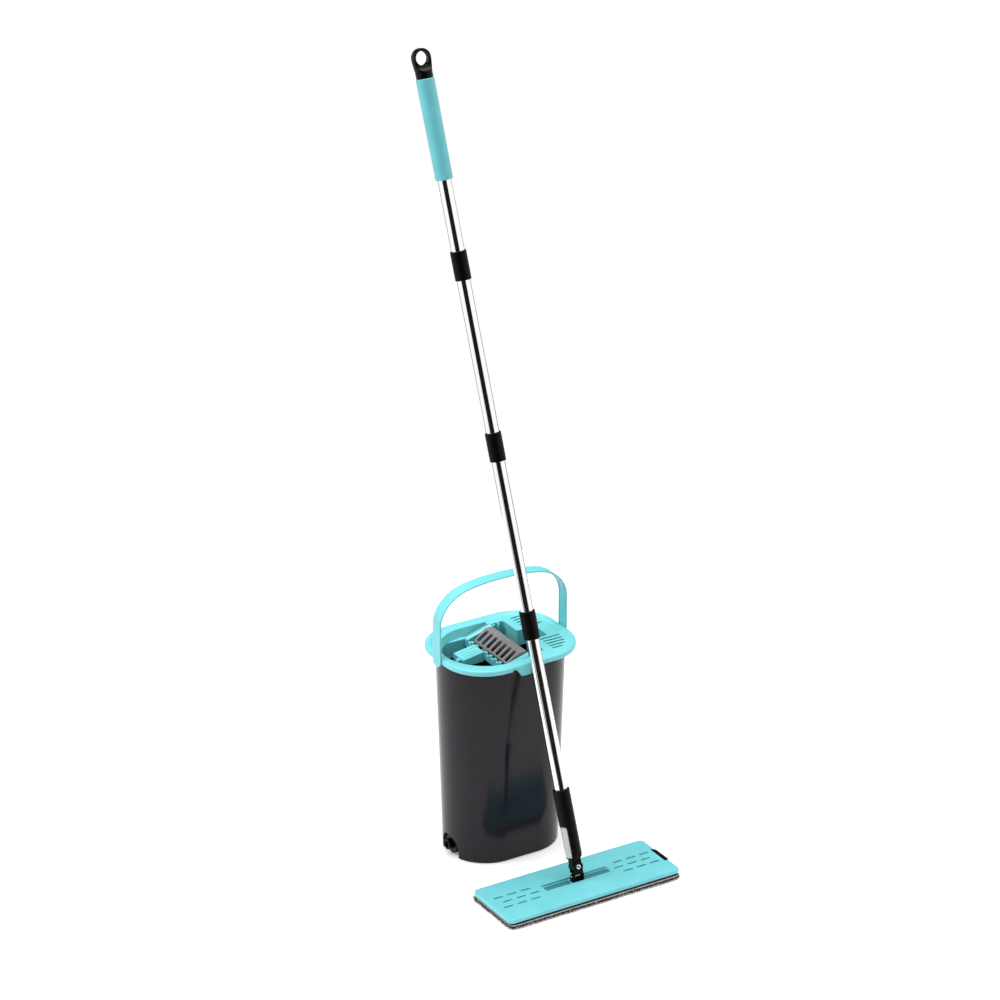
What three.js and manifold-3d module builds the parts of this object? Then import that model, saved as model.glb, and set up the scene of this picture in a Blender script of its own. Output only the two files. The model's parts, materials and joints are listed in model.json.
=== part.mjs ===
// Flat mop with its squeeze bucket, in millimetres, +Z up.
// The origin is the centre of the bucket's flat underside, +X runs along the bucket's long side
// and the mop leans on the bucket's front rim, on the -Y side.
import * as THREE from "three";
import { mergeVertices } from "three/addons/utils/BufferGeometryUtils.js";
import Module from "manifold-3d";

const wasm = await Module();
wasm.setup();

const GAP = 0.3; // clearance between pieces that touch
const PAST = 1; // how far a cutter runs past the face it opens

// Bucket body: a tapered shell with rounded ends and an arched recess for the drain at its left foot.
const BODY = { halfLength: 113, halfWidth: 83.5, corner: 83, top: 370.6, wall: 2.5, floor: 3 };
const FOOT = { halfLength: 102, halfWidth: 72.5, corner: 72, chamfer: 2.5 };
const RECESS = { x: -84, halfWidth: 25, height: 42, arch: 24 };
const DRAIN = { z: 19, bore: 6, spigot: 5.5, spigotEnd: -78, cap: 9, capLength: 6.5 };
const GASKET = { radius: 8.6, thick: 1.8 };
const KNOB = { halfThickness: 2.2, halfWidth: 7.5, end: -104 };

// Lid: a flanged deck with one large opening, whose left part is a sunken well.
const LID = { halfLength: 120.5, halfWidth: 97.5, corner: 74, top: 375, deck: 373, under: 371 };
const RIM = { width: 11, skirt: 3, bottom: 366 };
const WELL = { x: -30, radius: 77, ledge: 359, wall: 2, thick: 3 };
const THROAT = { length: 65, halfWidth: 64, corner: 38, bottom: 330 }; // below the well's ledge
const SLOT = { left: 19, right: 45, halfWidth: 65, chuteBottom: 345 };
const NOTCH = { right: 80, halfWidth: 20 };
const RAMP = { inner: 57, wall: 2, thick: 3.5, bottom: 342 };
const CROSSBAR = { left: -30, right: -26, top: 360.5, bottom: 346, notch: 4.5 };
const DECK_SLOTS = { left: 60, halfThick: 1.5, y: [28, 38, 47.5, 57, 66], right: [99, 97, 96, 91, 82] };
const COMB_LEDGE = { reach: 3, thick: 3 }; // under each end of the comb's bar
const GUIDE_RIBS = { x: [23, 32], thick: 1.6, reach: 4, bottom: 350, top: 372 };
const CLIP = { left: -26, right: -2, slant: 7, top: 371, shoulder: 365.5, bottom: 356, reach: 2.5, root: 2 };
const SKIRT_NOTCH = { width: 8, depth: 5, height: 3 };
const STUD = { radius: 3.6, z: 370.2, reach: 3.7, root: 2 };

// Wringer comb: a bar with eight slats that slope down to the crossbar, pushed by a spring behind it.
const COMB = { left: 4, right: 18, top: 374, barThick: 7, halfWidth: 55, tipHalfWidth: 52, edge: 1 };
const COMB_CUT = { low: 340, high: 380 }; // heights that clear the whole comb
const SLAT = {
  count: 8, pitch: 14.6, width: 6.2, thick: 3.2,
  tipX: -19.7, tipZ: 358, bendX: -6.5, bendZ: 368.5,
};
const RAIL_RIGHT = -17.5; // joins the slats at their tips
const COMB_TRAVEL = 6;
const STEM = { y: 18, halfWidth: 4, left: -42, bottom: 350.5, top: 354.5, clearance: 1.5 };
const PUSHER = { thick: 2, halfWidth: 5, bottom: 345.5, overlap: 0.5 };
const HOUSING = { left: -70, front: 3, back: 36, bottom: 342, top: 360, lowTop: 354, wall: 2, ribs: 3 };
const HOUSING_RIB = { halfThick: 1, inset: 4, sunk: 1, left: 1.4, right: 0.4 };
// The loop on the housing's left end.
const LOOP = { radius: 4.5, eye: 2.4, front: 4, back: 12, away: 4, rise: 8, armHalf: 2 };
const SPRING = { left: -67.5, radius: 3, wire: 0.9, z: 348, turns: 6 };

// Bail: a flat strap whose legs turn on studs at the lid's ends.
const BAIL = { halfWidth: 12, thick: 3, legX: 124, footRadius: 12, bore: 4, shoulder: 432 };
const BAIL_TOP = 496;
// Pull points of the bail's two curves, as distances in from the leg and down from the top.
const SHOULDER_CURVE = { rise: 27, cornerIn: 22, cornerDown: 12, crownIn: 56, crownDown: 5.5 };
const CROWN_CURVE = { topIn: 75, topDown: 2, mid: 34 };

// Mop head, lying flat in front of the bucket.
const HEAD = { x: 19, y: -213 };
const PLATE = { halfLength: 167, halfWidth: 60, corner: 9, bottom: 10, top: 17 };
const PAD = { halfLength: 166, halfWidth: 62, corner: 10, top: 8.7 };
const LAND = { left: -64, right: 65, front: -6, back: 13, depth: 1.2, corner: 5 }; // shallow recess
const POCKET = { left: -62, right: 63, inner: 11.8, halfWidth: 6, depth: 5.5, corner: 3.5 };
const SEAT = { halfLength: 11.4, halfWidth: 6.2, depth: 2.5, corner: 1 }; // where the hinge bracket sits
const VENTS = { length: 18.5, halfThick: 1.25, rows: [-16.5, 0, 16.5], first: 90.5, pitch: 26.5, shift: 8 };
const TAB = { halfWidth: 22, left: 160.4, right: 169.5, bottom: 9.2, top: 16.6 };
const STRIP = { halfLength: 150, halfWidth: 9, y: 44, bottom: 9, top: 9.7 };
const BRACKET = { halfLength: 11, halfWidth: 5.8, top: 17.7, earInner: 8, earRadius: 4.4 };
const SCREWS = { x: 6, shaft: 1.4, bore: 1.8, head: 3, headBore: 3.4, headTop: 11.8, top: 17.2 };

// Two crossed pivots join the head to the pole: the tilt pin along X, then the swing screw.
const PIN = { z: 25, radius: 1.5, bore: 1.8, reach: 11.8 };
const YOKE = { pivot: 16, halfLength: 7.7, foot: 4.4, cheekInner: 7, cheekOuter: 8.8, cheek: 9 };
const BRIDGE = { bottom: 5, webBottom: 5.4, top: 7 }; // joins the yoke's foot to its cheeks
const YOKE_EYE = { wall: 1.5 };
const SWING = { shaft: 2, bore: 2.3, head: 4, headThick: 1.6, nut: 4.2, nutThick: 2.6 };
const SWING_REST = THREE.MathUtils.degToRad(2.48); // the pole leans this far to the left

// Pole, measured along its axis from the swing screw.
const TUBE = { radius: 11, wall: 1.2, starts: [77, 418, 720, 1022], end: 1316 };
const COLLAR = { radius: 13.4, length: 48 };
const INSERT = { radius: 9.4, halfLength: 25 };
const SOCKET = { radius: 13.5, bottom: 14, top: 135, floor: 17, coreBore: 12.1 };
const TONGUE = { halfThick: 6.5, radius: 8.5 }; // the socket's foot, between the yoke's cheeks
const WINDOW = { x: -4.5, top: 72 };
const CORE = { radius: 11.8, inner: 9.5, bottom: 17.4, top: 76.6 };
const GRIP = { bottom: 1163, top: 1328, radius: 14.3, topRadius: 15, lip: 1.2 };
const HANG = {
  bottom: 1328.4, base: 14, shoulder: 1340.5,
  ring: 16.2, hole: 11.7, centre: 1360.5, halfThick: 5,
};
const NECK = { pull: 4, taper: 6, join: 2 }; // how the hanging ring blends into its round base
const PLUG = { radius: 9.3, depth: 22 };

// The pole rests against the rim's front edge, so its lean follows from where that edge is.
const REACH = new THREE.Vector2(-LID.halfWidth - HEAD.y, LID.top - PIN.z);
const REST_GAP = 0.45;
const LEAN = Math.atan2(REACH.x, REACH.y) - Math.asin((TUBE.radius + REST_GAP) / REACH.length());

const TURQUOISE = { color: 0x6fd3dd, roughness: 0.4, metalness: 0 };
const CHARCOAL = { color: 0x2b2b2d, roughness: 0.25, metalness: 0 };
const BLACK = { color: 0x151515, roughness: 0.45, metalness: 0 };
const COMB_GREY = { color: 0x8a8784, roughness: 0.5, metalness: 0 };
const PALE_GREY = { color: 0xd4d4d4, roughness: 0.35, metalness: 0 };
const CHROME = { color: 0xd8dadc, roughness: 0.12, metalness: 1 };
const STEEL = { color: 0xb8babd, roughness: 0.3, metalness: 1 };
const MICROFIBRE = { color: 0x8c8a86, roughness: 0.95, metalness: 0 };
const RUBBER = { color: 0x1c1c1c, roughness: 0.8, metalness: 0 };

// ---- Solids ------------------------------------------------------------------------------------

// A closed three.js geometry as a solid that can be cut and joined.
function solid(geometry) {
  const bare = geometry.index ? geometry.toNonIndexed() : geometry.clone();
  bare.deleteAttribute("normal");
  bare.deleteAttribute("uv");
  const merged = mergeVertices(bare, 1e-4);
  return new wasm.Manifold(
    new wasm.Mesh({
      numProp: 3,
      vertProperties: merged.attributes.position.array,
      triVerts: new Uint32Array(merged.index.array),
    }),
  );
}

// A solid as a flat-shaded three.js geometry.
function geometryOf(body) {
  const made = body.getMesh();
  const geometry = new THREE.BufferGeometry();
  geometry.setAttribute("position", new THREE.BufferAttribute(new Float32Array(made.vertProperties), 3));
  geometry.setIndex(new THREE.BufferAttribute(new Uint32Array(made.triVerts), 1));
  const flat = geometry.toNonIndexed();
  flat.computeVertexNormals();
  return flat;
}

function box(x0, x1, y0, y1, z0, z1) {
  const geometry = new THREE.BoxGeometry(x1 - x0, y1 - y0, z1 - z0);
  return solid(geometry.translate((x0 + x1) / 2, (y0 + y1) / 2, (z0 + z1) / 2));
}

// The lower and higher end of a stretch from near to far on the side that is given by +1 or -1.
function span(side, near, far) {
  return side > 0 ? [near, far] : [-far, -near];
}

const X = new THREE.Vector3(1, 0, 0);
const Y = new THREE.Vector3(0, 1, 0);
const Z = new THREE.Vector3(0, 0, 1);

function extrusion(shape, depth, curveSegments) {
  return new THREE.ExtrudeGeometry(shape, { depth, bevelEnabled: false, curveSegments });
}

// A shape in X and Y, from z0 up to z1.
function prismZ(shape, z0, z1, curveSegments = 12) {
  return solid(extrusion(shape, z1 - z0, curveSegments).translate(0, 0, z0));
}

// A shape in X and Z, from y0 to y1.
function prismY(shape, y0, y1, curveSegments = 12) {
  const turned = new THREE.Matrix4().makeBasis(X, Z, Y.clone().negate());
  return solid(extrusion(shape, y1 - y0, curveSegments).applyMatrix4(turned).translate(0, y1, 0));
}

// A shape in Y and Z, from x0 to x1.
function prismX(shape, x0, x1, curveSegments = 12) {
  const turned = new THREE.Matrix4().makeBasis(Y, Z, X);
  return solid(extrusion(shape, x1 - x0, curveSegments).applyMatrix4(turned).translate(x0, 0, 0));
}

function rodZ(radius, z0, z1, x = 0, y = 0, sides = 24, topRadius = radius) {
  const geometry = new THREE.CylinderGeometry(topRadius, radius, z1 - z0, sides).rotateX(Math.PI / 2);
  return solid(geometry.translate(x, y, (z0 + z1) / 2));
}

function rodX(radius, x0, x1, y, z, sides = 24) {
  const geometry = new THREE.CylinderGeometry(radius, radius, x1 - x0, sides).rotateZ(Math.PI / 2);
  return solid(geometry.translate((x0 + x1) / 2, y, z));
}

function rodY(radius, y0, y1, x, z, sides = 24) {
  const geometry = new THREE.CylinderGeometry(radius, radius, y1 - y0, sides);
  return solid(geometry.translate(x, (y0 + y1) / 2, z));
}

function ringZ(outer, inner, z0, z1) {
  return rodZ(outer, z0, z1).subtract(rodZ(inner, z0 - PAST, z1 + PAST));
}

// A rectangle with round corners, centred on the origin and grown outwards by grow.
function roundedRect(halfX, halfY, corner, grow = 0) {
  const x = halfX + grow;
  const y = halfY + grow;
  const r = corner + grow;
  const shape = new THREE.Shape();
  shape.absarc(x - r, y - r, r, 0, Math.PI / 2);
  shape.absarc(r - x, y - r, r, Math.PI / 2, Math.PI);
  shape.absarc(r - x, r - y, r, Math.PI, 1.5 * Math.PI);
  shape.absarc(x - r, r - y, r, 1.5 * Math.PI, 2 * Math.PI);
  return shape;
}

function polygon(points) {
  return new THREE.Shape(points.map(([x, y]) => new THREE.Vector2(x, y)));
}

// A solid through convex outlines with equal numbers of points, each given with its height.
function loft(levels) {
  const rings = levels.map(({ shape, z }) => shape.getPoints(12).map((p) => new THREE.Vector3(p.x, p.y, z)));
  const last = rings.length - 1;
  const low = new THREE.Vector3(0, 0, levels[0].z);
  const high = new THREE.Vector3(0, 0, levels[last].z);
  const corners = [];
  const count = rings[0].length;
  for (let i = 0; i < count; i++) {
    const next = (i + 1) % count;
    corners.push(low, rings[0][next], rings[0][i]);
    corners.push(high, rings[last][i], rings[last][next]);
    for (let level = 0; level < last; level++) {
      const [a, b] = [rings[level], rings[level + 1]];
      corners.push(a[i], a[next], b[next], a[i], b[next], b[i]);
    }
  }
  return solid(new THREE.BufferGeometry().setFromPoints(corners));
}

function union(pieces) {
  return pieces.reduce((whole, piece) => whole.add(piece));
}

// Adds a named mesh to a group.
function place(group, name, body, look) {
  const mesh = new THREE.Mesh(geometryOf(body), new THREE.MeshStandardMaterial(look));
  mesh.name = name;
  group.add(mesh);
}

// ---- Bucket body and drain -----------------------------------------------------------------------

// The body's outline at a height, moved inwards by inset.
function bodyOutline(z, inset) {
  const t = z / BODY.top;
  const mix = (low, high) => low + (high - low) * t - inset;
  return roundedRect(
    mix(FOOT.halfLength, BODY.halfLength),
    mix(FOOT.halfWidth, BODY.halfWidth),
    mix(FOOT.corner, BODY.corner),
  );
}

// The arched block that the drain recess takes out of the body's left foot.
function recessBlock(grow) {
  const half = RECESS.halfWidth + grow;
  const arch = new THREE.Shape();
  arch.moveTo(half, -PAST);
  arch.lineTo(half, RECESS.height - RECESS.arch);
  arch.absellipse(0, RECESS.height - RECESS.arch, half, RECESS.arch + grow, 0, Math.PI);
  arch.lineTo(-half, -PAST);
  return prismX(arch, -FOOT.halfLength - 20, RECESS.x + grow, 8);
}

function bucketBody() {
  const outer = loft([
    { shape: bodyOutline(0, FOOT.chamfer), z: 0 },
    { shape: bodyOutline(FOOT.chamfer, 0), z: FOOT.chamfer },
    { shape: bodyOutline(BODY.top, 0), z: BODY.top },
  ]);
  const inner = loft([
    { shape: bodyOutline(BODY.floor, BODY.wall), z: BODY.floor },
    { shape: bodyOutline(BODY.top + PAST, BODY.wall), z: BODY.top + PAST },
  ]);
  const hollow = inner.subtract(recessBlock(BODY.wall));
  const bore = rodX(DRAIN.bore, RECESS.x - PAST, RECESS.x + BODY.wall + PAST, 0, DRAIN.z);
  return outer.subtract(recessBlock(0)).subtract(hollow).subtract(bore);
}

function drainGasket() {
  const right = RECESS.x - GAP;
  const left = right - GASKET.thick;
  const ring = rodX(GASKET.radius, left, right, 0, DRAIN.z);
  return ring.subtract(rodX(DRAIN.bore, left - PAST, right + PAST, 0, DRAIN.z));
}

function drainPlug() {
  const capRight = RECESS.x - GASKET.thick - 2 * GAP;
  const capLeft = capRight - DRAIN.capLength;
  const spigot = rodX(DRAIN.spigot, capRight - PAST, DRAIN.spigotEnd, 0, DRAIN.z);
  const cap = rodX(DRAIN.cap, capLeft, capRight, 0, DRAIN.z);
  const { halfThickness, halfWidth, end } = KNOB;
  const [low, high] = [DRAIN.z - halfThickness, DRAIN.z + halfThickness];
  const grip = box(end, capLeft + PAST, -halfWidth, halfWidth, low, high);
  return union([cap, spigot, grip]);
}

// ---- Lid -----------------------------------------------------------------------------------------

// The lid's one opening: the round well on the left, the mop slot and the notch for the pole.
function openingOutline(grow) {
  const well = WELL.radius + grow;
  const slotLeft = SLOT.left + grow;
  const slotRight = SLOT.right + grow;
  const slotHalf = SLOT.halfWidth + grow;
  const notchHalf = NOTCH.halfWidth + grow;
  const notchRight = NOTCH.right + grow;
  const shape = new THREE.Shape();
  shape.absarc(WELL.x, 0, well, Math.PI / 2, 1.5 * Math.PI);
  shape.lineTo(slotLeft, -well);
  shape.lineTo(slotLeft, -slotHalf);
  shape.lineTo(slotRight, -slotHalf);
  shape.lineTo(slotRight, -notchHalf);
  shape.lineTo(notchRight, -notchHalf);
  shape.lineTo(notchRight, notchHalf);
  shape.lineTo(slotRight, notchHalf);
  shape.lineTo(slotRight, slotHalf);
  shape.lineTo(slotLeft, slotHalf);
  shape.lineTo(slotLeft, well);
  return shape;
}

// The left half of a disc about the well's centre.
function halfDisc(radius, z0, z1) {
  const shape = new THREE.Shape();
  shape.absarc(WELL.x, 0, radius, Math.PI / 2, 1.5 * Math.PI);
  return prismZ(shape, z0, z1, 24);
}

// The room inside the throat on the crossbar's left, grown outwards.
function throatRoom(grow, z0, z1) {
  const { length, halfWidth, corner } = THROAT;
  const whole = prismZ(roundedRect(length, halfWidth, corner, grow), z0, z1, 10).translate([WELL.x, 0, 0]);
  return whole.intersect(box(-LID.halfLength, WELL.x, -LID.halfWidth, LID.halfWidth, z0, z1));
}

// The sloping ledge beside the comb, with the wall that closes it below; side is +1 or -1.
function ramp(side) {
  const low = WELL.ledge;
  const outer = WELL.radius + PAST;
  const slope = polygon([
    [WELL.x - PAST, low],
    [WELL.x - PAST, low - RAMP.thick],
    [SLOT.left + PAST, LID.deck - RAMP.thick],
    [SLOT.left + PAST, LID.deck],
  ]);
  const web = polygon([
    [WELL.x - PAST, low],
    [WELL.x - PAST, RAMP.bottom],
    [SLOT.left + WELL.wall, RAMP.bottom],
    [SLOT.left + WELL.wall, LID.deck],
    [SLOT.left + PAST, LID.deck],
  ]);
  const [slopeFront, slopeBack] = span(side, RAMP.inner, outer);
  const [webFront, webBack] = span(side, RAMP.inner, RAMP.inner + RAMP.wall);
  return prismY(slope, slopeFront, slopeBack).add(prismY(web, webFront, webBack));
}

// The bar under the comb's tips, with a notch for each slat and a deeper one for the spring's stem.
function crossbar() {
  const { left, right, top, bottom, notch } = CROSSBAR;
  const halfLength = WELL.radius + PAST;
  let bar = box(left, right, -halfLength, halfLength, bottom, top);
  const half = SLAT.width / 2 + PAST;
  for (let i = 0; i < SLAT.count; i++) {
    const y = (i - (SLAT.count - 1) / 2) * SLAT.pitch;
    bar = bar.subtract(box(left - PAST, right + PAST, y - half, y + half, top - notch, top + PAST));
  }
  const stemHalf = STEM.halfWidth + STEM.clearance;
  const [front, back] = [STEM.y - stemHalf, STEM.y + stemHalf];
  return bar.subtract(box(left - PAST, right + PAST, front, back, STEM.bottom - 2 * GAP, top));
}

function guideRibs() {
  const ribs = [];
  for (const x of GUIDE_RIBS.x) {
    for (const side of [-1, 1]) {
      const [y0, y1] = span(side, SLOT.halfWidth - GUIDE_RIBS.reach, SLOT.halfWidth + PAST);
      ribs.push(box(x, x + GUIDE_RIBS.thick, y0, y1, GUIDE_RIBS.bottom, GUIDE_RIBS.top));
    }
  }
  return ribs;
}

// Ledges that carry the ends of the comb's bar.
function combLedges() {
  const top = COMB.top - COMB.barThick - GAP;
  return [-1, 1].map((side) => {
    const [y0, y1] = span(side, COMB.halfWidth - COMB_LEDGE.reach, RAMP.inner + PAST);
    return box(COMB.left, SLOT.left, y0, y1, top - COMB_LEDGE.thick, top);
  });
}

// The snap tab below the front rim. Its left side slants, and its shoulder stays clear of the leaning pole.
function frontClip() {
  const { left, right, slant, top, shoulder, bottom } = CLIP;
  const front = -LID.halfWidth - CLIP.reach;
  const back = CLIP.root - LID.halfWidth;
  const tab = polygon([
    [left, top],
    [left, RIM.bottom],
    [left + slant, bottom],
    [right, bottom],
    [right, top],
  ]);
  const profile = polygon([
    [back, bottom],
    [back, top],
    [-LID.halfWidth, top],
    [front, shoulder],
    [front, bottom],
  ]);
  return prismY(tab, front, back).intersect(prismX(profile, left - PAST, right + PAST));
}

function lid() {
  const { halfLength, halfWidth, corner } = LID;
  const whole = prismZ(roundedRect(halfLength, halfWidth, corner), RIM.bottom, LID.top);
  const under = prismZ(roundedRect(halfLength, halfWidth, corner, -RIM.skirt), RIM.bottom - PAST, LID.under);
  const deck = prismZ(roundedRect(halfLength, halfWidth, corner, -RIM.width), LID.deck, LID.top + PAST);
  const chute = prismZ(openingOutline(WELL.wall), SLOT.chuteBottom, LID.under + PAST);
  const opening = prismZ(openingOutline(0), SLOT.chuteBottom - PAST, LID.top + PAST);
  let body = whole.subtract(under).subtract(deck).add(chute).subtract(opening);
  const room = throatRoom(0, THROAT.bottom - PAST, WELL.ledge + PAST);
  const ledge = halfDisc(WELL.radius + PAST, WELL.ledge - WELL.thick, WELL.ledge).subtract(room);
  const throat = throatRoom(WELL.wall, THROAT.bottom, WELL.ledge).subtract(room);
  const inside = [ledge, throat, ramp(1), ramp(-1), crossbar(), ...guideRibs(), ...combLedges()];
  body = union([body, frontClip(), ...inside]);
  DECK_SLOTS.y.forEach((y, i) => {
    for (const side of [-1, 1]) {
      const [y0, y1] = [side * y - DECK_SLOTS.halfThick, side * y + DECK_SLOTS.halfThick];
      body = body.subtract(box(DECK_SLOTS.left, DECK_SLOTS.right[i], y0, y1, LID.under - PAST, LID.top));
    }
  });
  const notchRight = CLIP.left - PAST;
  const notchBack = SKIRT_NOTCH.depth - halfWidth;
  const notchTop = RIM.bottom + SKIRT_NOTCH.height;
  const notchLeft = notchRight - SKIRT_NOTCH.width;
  const skirtNotch = box(notchLeft, notchRight, -halfWidth - PAST, notchBack, RIM.bottom - PAST, notchTop);
  const studs = [-1, 1].map((side) => {
    const [x0, x1] = span(side, halfLength - STUD.root, halfLength + STUD.reach);
    return rodX(STUD.radius, x0, x1, 0, STUD.z, 20);
  });
  return union([body.subtract(skirtNotch), ...studs]);
}

// ---- Wringer comb and its spring -----------------------------------------------------------------

// The comb's section: a flat bar whose slats bend down to the left.
function combSection() {
  const { left, right, top, barThick } = COMB;
  const { tipX, tipZ, thick, bendX, bendZ } = SLAT;
  const shape = new THREE.Shape();
  shape.moveTo(right, top - barThick);
  shape.lineTo(right, top - COMB.edge);
  shape.lineTo(right - COMB.edge, top);
  shape.lineTo(left, top - COMB.edge / 2);
  shape.quadraticCurveTo(bendX, bendZ, tipX, tipZ);
  shape.lineTo(tipX, tipZ - thick);
  shape.quadraticCurveTo(bendX + COMB.edge, bendZ - thick - COMB.edge, left, top - barThick);
  return shape;
}

function wringerComb() {
  const { halfWidth, tipHalfWidth, left } = COMB;
  let comb = prismY(combSection(), -halfWidth, halfWidth, 8);
  const outline = polygon([
    [COMB.right + PAST, -halfWidth],
    [COMB.right + PAST, halfWidth],
    [left, halfWidth],
    [SLAT.tipX - PAST, tipHalfWidth],
    [SLAT.tipX - PAST, -tipHalfWidth],
    [left, -halfWidth],
  ]);
  const { low, high } = COMB_CUT;
  comb = comb.intersect(prismZ(outline, low, high));
  const openHalf = (SLAT.pitch - SLAT.width) / 2;
  for (let i = 1; i < SLAT.count; i++) {
    const y = (i - SLAT.count / 2) * SLAT.pitch;
    comb = comb.subtract(box(RAIL_RIGHT, left - PAST, y - openHalf, y + openHalf, low, high));
  }
  return union([comb, ...combStem()]);
}

// The stem below the tips reaches through the crossbar to the pusher that the spring presses.
function combStem() {
  const { left, bottom, top } = STEM;
  const [y0, y1] = [STEM.y - STEM.halfWidth, STEM.y + STEM.halfWidth];
  const [pusherFront, pusherBack] = [STEM.y - PUSHER.halfWidth, STEM.y + PUSHER.halfWidth];
  const postLeft = CROSSBAR.right + COMB_TRAVEL + GAP;
  const insideTips = SLAT.tipZ - PUSHER.overlap;
  return [
    box(left, RAIL_RIGHT, y0, y1, bottom, top),
    box(postLeft, RAIL_RIGHT, y0, y1, bottom, insideTips),
    box(left - PUSHER.thick, left + PAST, pusherFront, pusherBack, PUSHER.bottom, top),
  ];
}

// The ribbed box behind the crossbar that holds the comb's spring.
function springHousing() {
  const { left, front, back, bottom, top, lowTop, wall } = HOUSING;
  const right = CROSSBAR.left - GAP;
  const outline = (inset) =>
    polygon([
      [left + inset, bottom + inset],
      [right, bottom + inset],
      [right, top - inset],
      [left + inset, lowTop - inset],
    ]);
  let housing = prismY(outline(0), front, back);
  const hollow = prismY(outline(wall), front + wall, back - wall);
  const mouth = box(right - PAST, right + PAST, front + wall, back - wall, bottom + wall, top - wall);
  housing = housing.subtract(hollow).subtract(mouth);
  const ribPitch = (back - front) / (HOUSING.ribs + 1);
  for (let i = 1; i <= HOUSING.ribs; i++) {
    const y = front + i * ribPitch;
    const rib = polygon([
      [left + HOUSING_RIB.inset, lowTop - HOUSING_RIB.sunk],
      [right - HOUSING_RIB.inset, top - HOUSING_RIB.sunk],
      [right - HOUSING_RIB.inset, top + HOUSING_RIB.right],
      [left + HOUSING_RIB.inset, lowTop + HOUSING_RIB.left],
    ]);
    housing = housing.add(prismY(rib, y - HOUSING_RIB.halfThick, y + HOUSING_RIB.halfThick));
  }
  const [loopX, loopZ] = [left - LOOP.away, bottom + LOOP.rise];
  const [loopFront, loopBack] = [front + LOOP.front, front + LOOP.back];
  const loop = rodY(LOOP.radius, loopFront, loopBack, loopX, loopZ, 16);
  const arm = box(loopX, left + PAST, loopFront, loopBack, loopZ - LOOP.armHalf, loopZ + LOOP.armHalf);
  const eye = rodY(LOOP.eye, loopFront - PAST, loopBack + PAST, loopX, loopZ, 16);
  return union([housing, loop, arm]).subtract(eye);
}

// A coil along X, pressed between the housing's left wall and the comb's pusher.
function combSpring() {
  const right = STEM.left - PUSHER.thick - GAP - SPRING.wire;
  const left = SPRING.left + SPRING.wire;
  const steps = SPRING.turns * 12;
  const points = [];
  for (let i = 0; i <= steps; i++) {
    const angle = (i / 12) * 2 * Math.PI;
    const x = left + ((right - left) * i) / steps;
    points.push(
      new THREE.Vector3(
        x,
        STEM.y + SPRING.radius * Math.cos(angle),
        SPRING.z + SPRING.radius * Math.sin(angle),
      ),
    );
  }
  const path = new THREE.CatmullRomCurve3(points);
  const section = new THREE.Shape();
  section.absarc(0, 0, SPRING.wire / 2, 0, 2 * Math.PI);
  return solid(new THREE.ExtrudeGeometry(section, { steps, extrudePath: path, curveSegments: 3 }));
}

// ---- Bail ----------------------------------------------------------------------------------------

// Half of the bail's outer edge, from the leg up to the middle of the top, moved inwards by inset.
function bailEdge(inset) {
  const x = BAIL.legX - inset;
  const top = BAIL_TOP - inset;
  const edge = new THREE.CurvePath();
  const shoulder = new THREE.Vector2(x, BAIL.shoulder);
  const { rise, cornerIn, cornerDown, crownIn, crownDown } = SHOULDER_CURVE;
  const { topIn, topDown, mid } = CROWN_CURVE;
  const crown = new THREE.Vector2(x - crownIn, top - crownDown);
  edge.add(
    new THREE.CubicBezierCurve(
      shoulder,
      new THREE.Vector2(x, BAIL.shoulder + rise),
      new THREE.Vector2(x - cornerIn, top - cornerDown),
      crown,
    ),
  );
  edge.add(
    new THREE.CubicBezierCurve(
      crown,
      new THREE.Vector2(x - topIn, top - topDown),
      new THREE.Vector2(mid, top),
      new THREE.Vector2(0, top),
    ),
  );
  return edge.curves.flatMap((curve, i) => curve.getPoints(10).slice(i ? 1 : 0));
}

function bail() {
  const bottom = STUD.z - BAIL.footRadius - PAST;
  const right = (inset) => [new THREE.Vector2(BAIL.legX - inset, bottom), ...bailEdge(inset)];
  const mirrored = (points) =>
    points
      .slice(0, -1)
      .reverse()
      .map((p) => new THREE.Vector2(-p.x, p.y));
  const outer = [...right(0), ...mirrored(right(0))];
  const inner = [...right(BAIL.thick), ...mirrored(right(BAIL.thick))];
  const strap = prismY(new THREE.Shape([...outer, ...inner.reverse()]), -BAIL.halfWidth, BAIL.halfWidth);
  const side = new THREE.Shape();
  side.moveTo(BAIL.halfWidth, BAIL_TOP + PAST);
  side.lineTo(-BAIL.halfWidth, BAIL_TOP + PAST);
  side.lineTo(-BAIL.halfWidth, STUD.z);
  side.absarc(0, STUD.z, BAIL.footRadius, Math.PI, 2 * Math.PI);
  const reach = BAIL.legX + PAST;
  const bore = rodX(BAIL.bore, -reach, reach, 0, STUD.z, 20);
  return strap.intersect(prismX(side, -reach, reach)).subtract(bore);
}

// ---- Mop head ------------------------------------------------------------------------------------

// A cutter for a recess with round corners, sunk into the plate's top.
function sunk(x0, x1, y0, y1, depth, corner) {
  const shape = roundedRect((x1 - x0) / 2, (y1 - y0) / 2, corner);
  const geometry = extrusion(shape, depth + PAST, 6);
  return solid(geometry.translate((x0 + x1) / 2, (y0 + y1) / 2, PLATE.top - depth));
}

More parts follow.
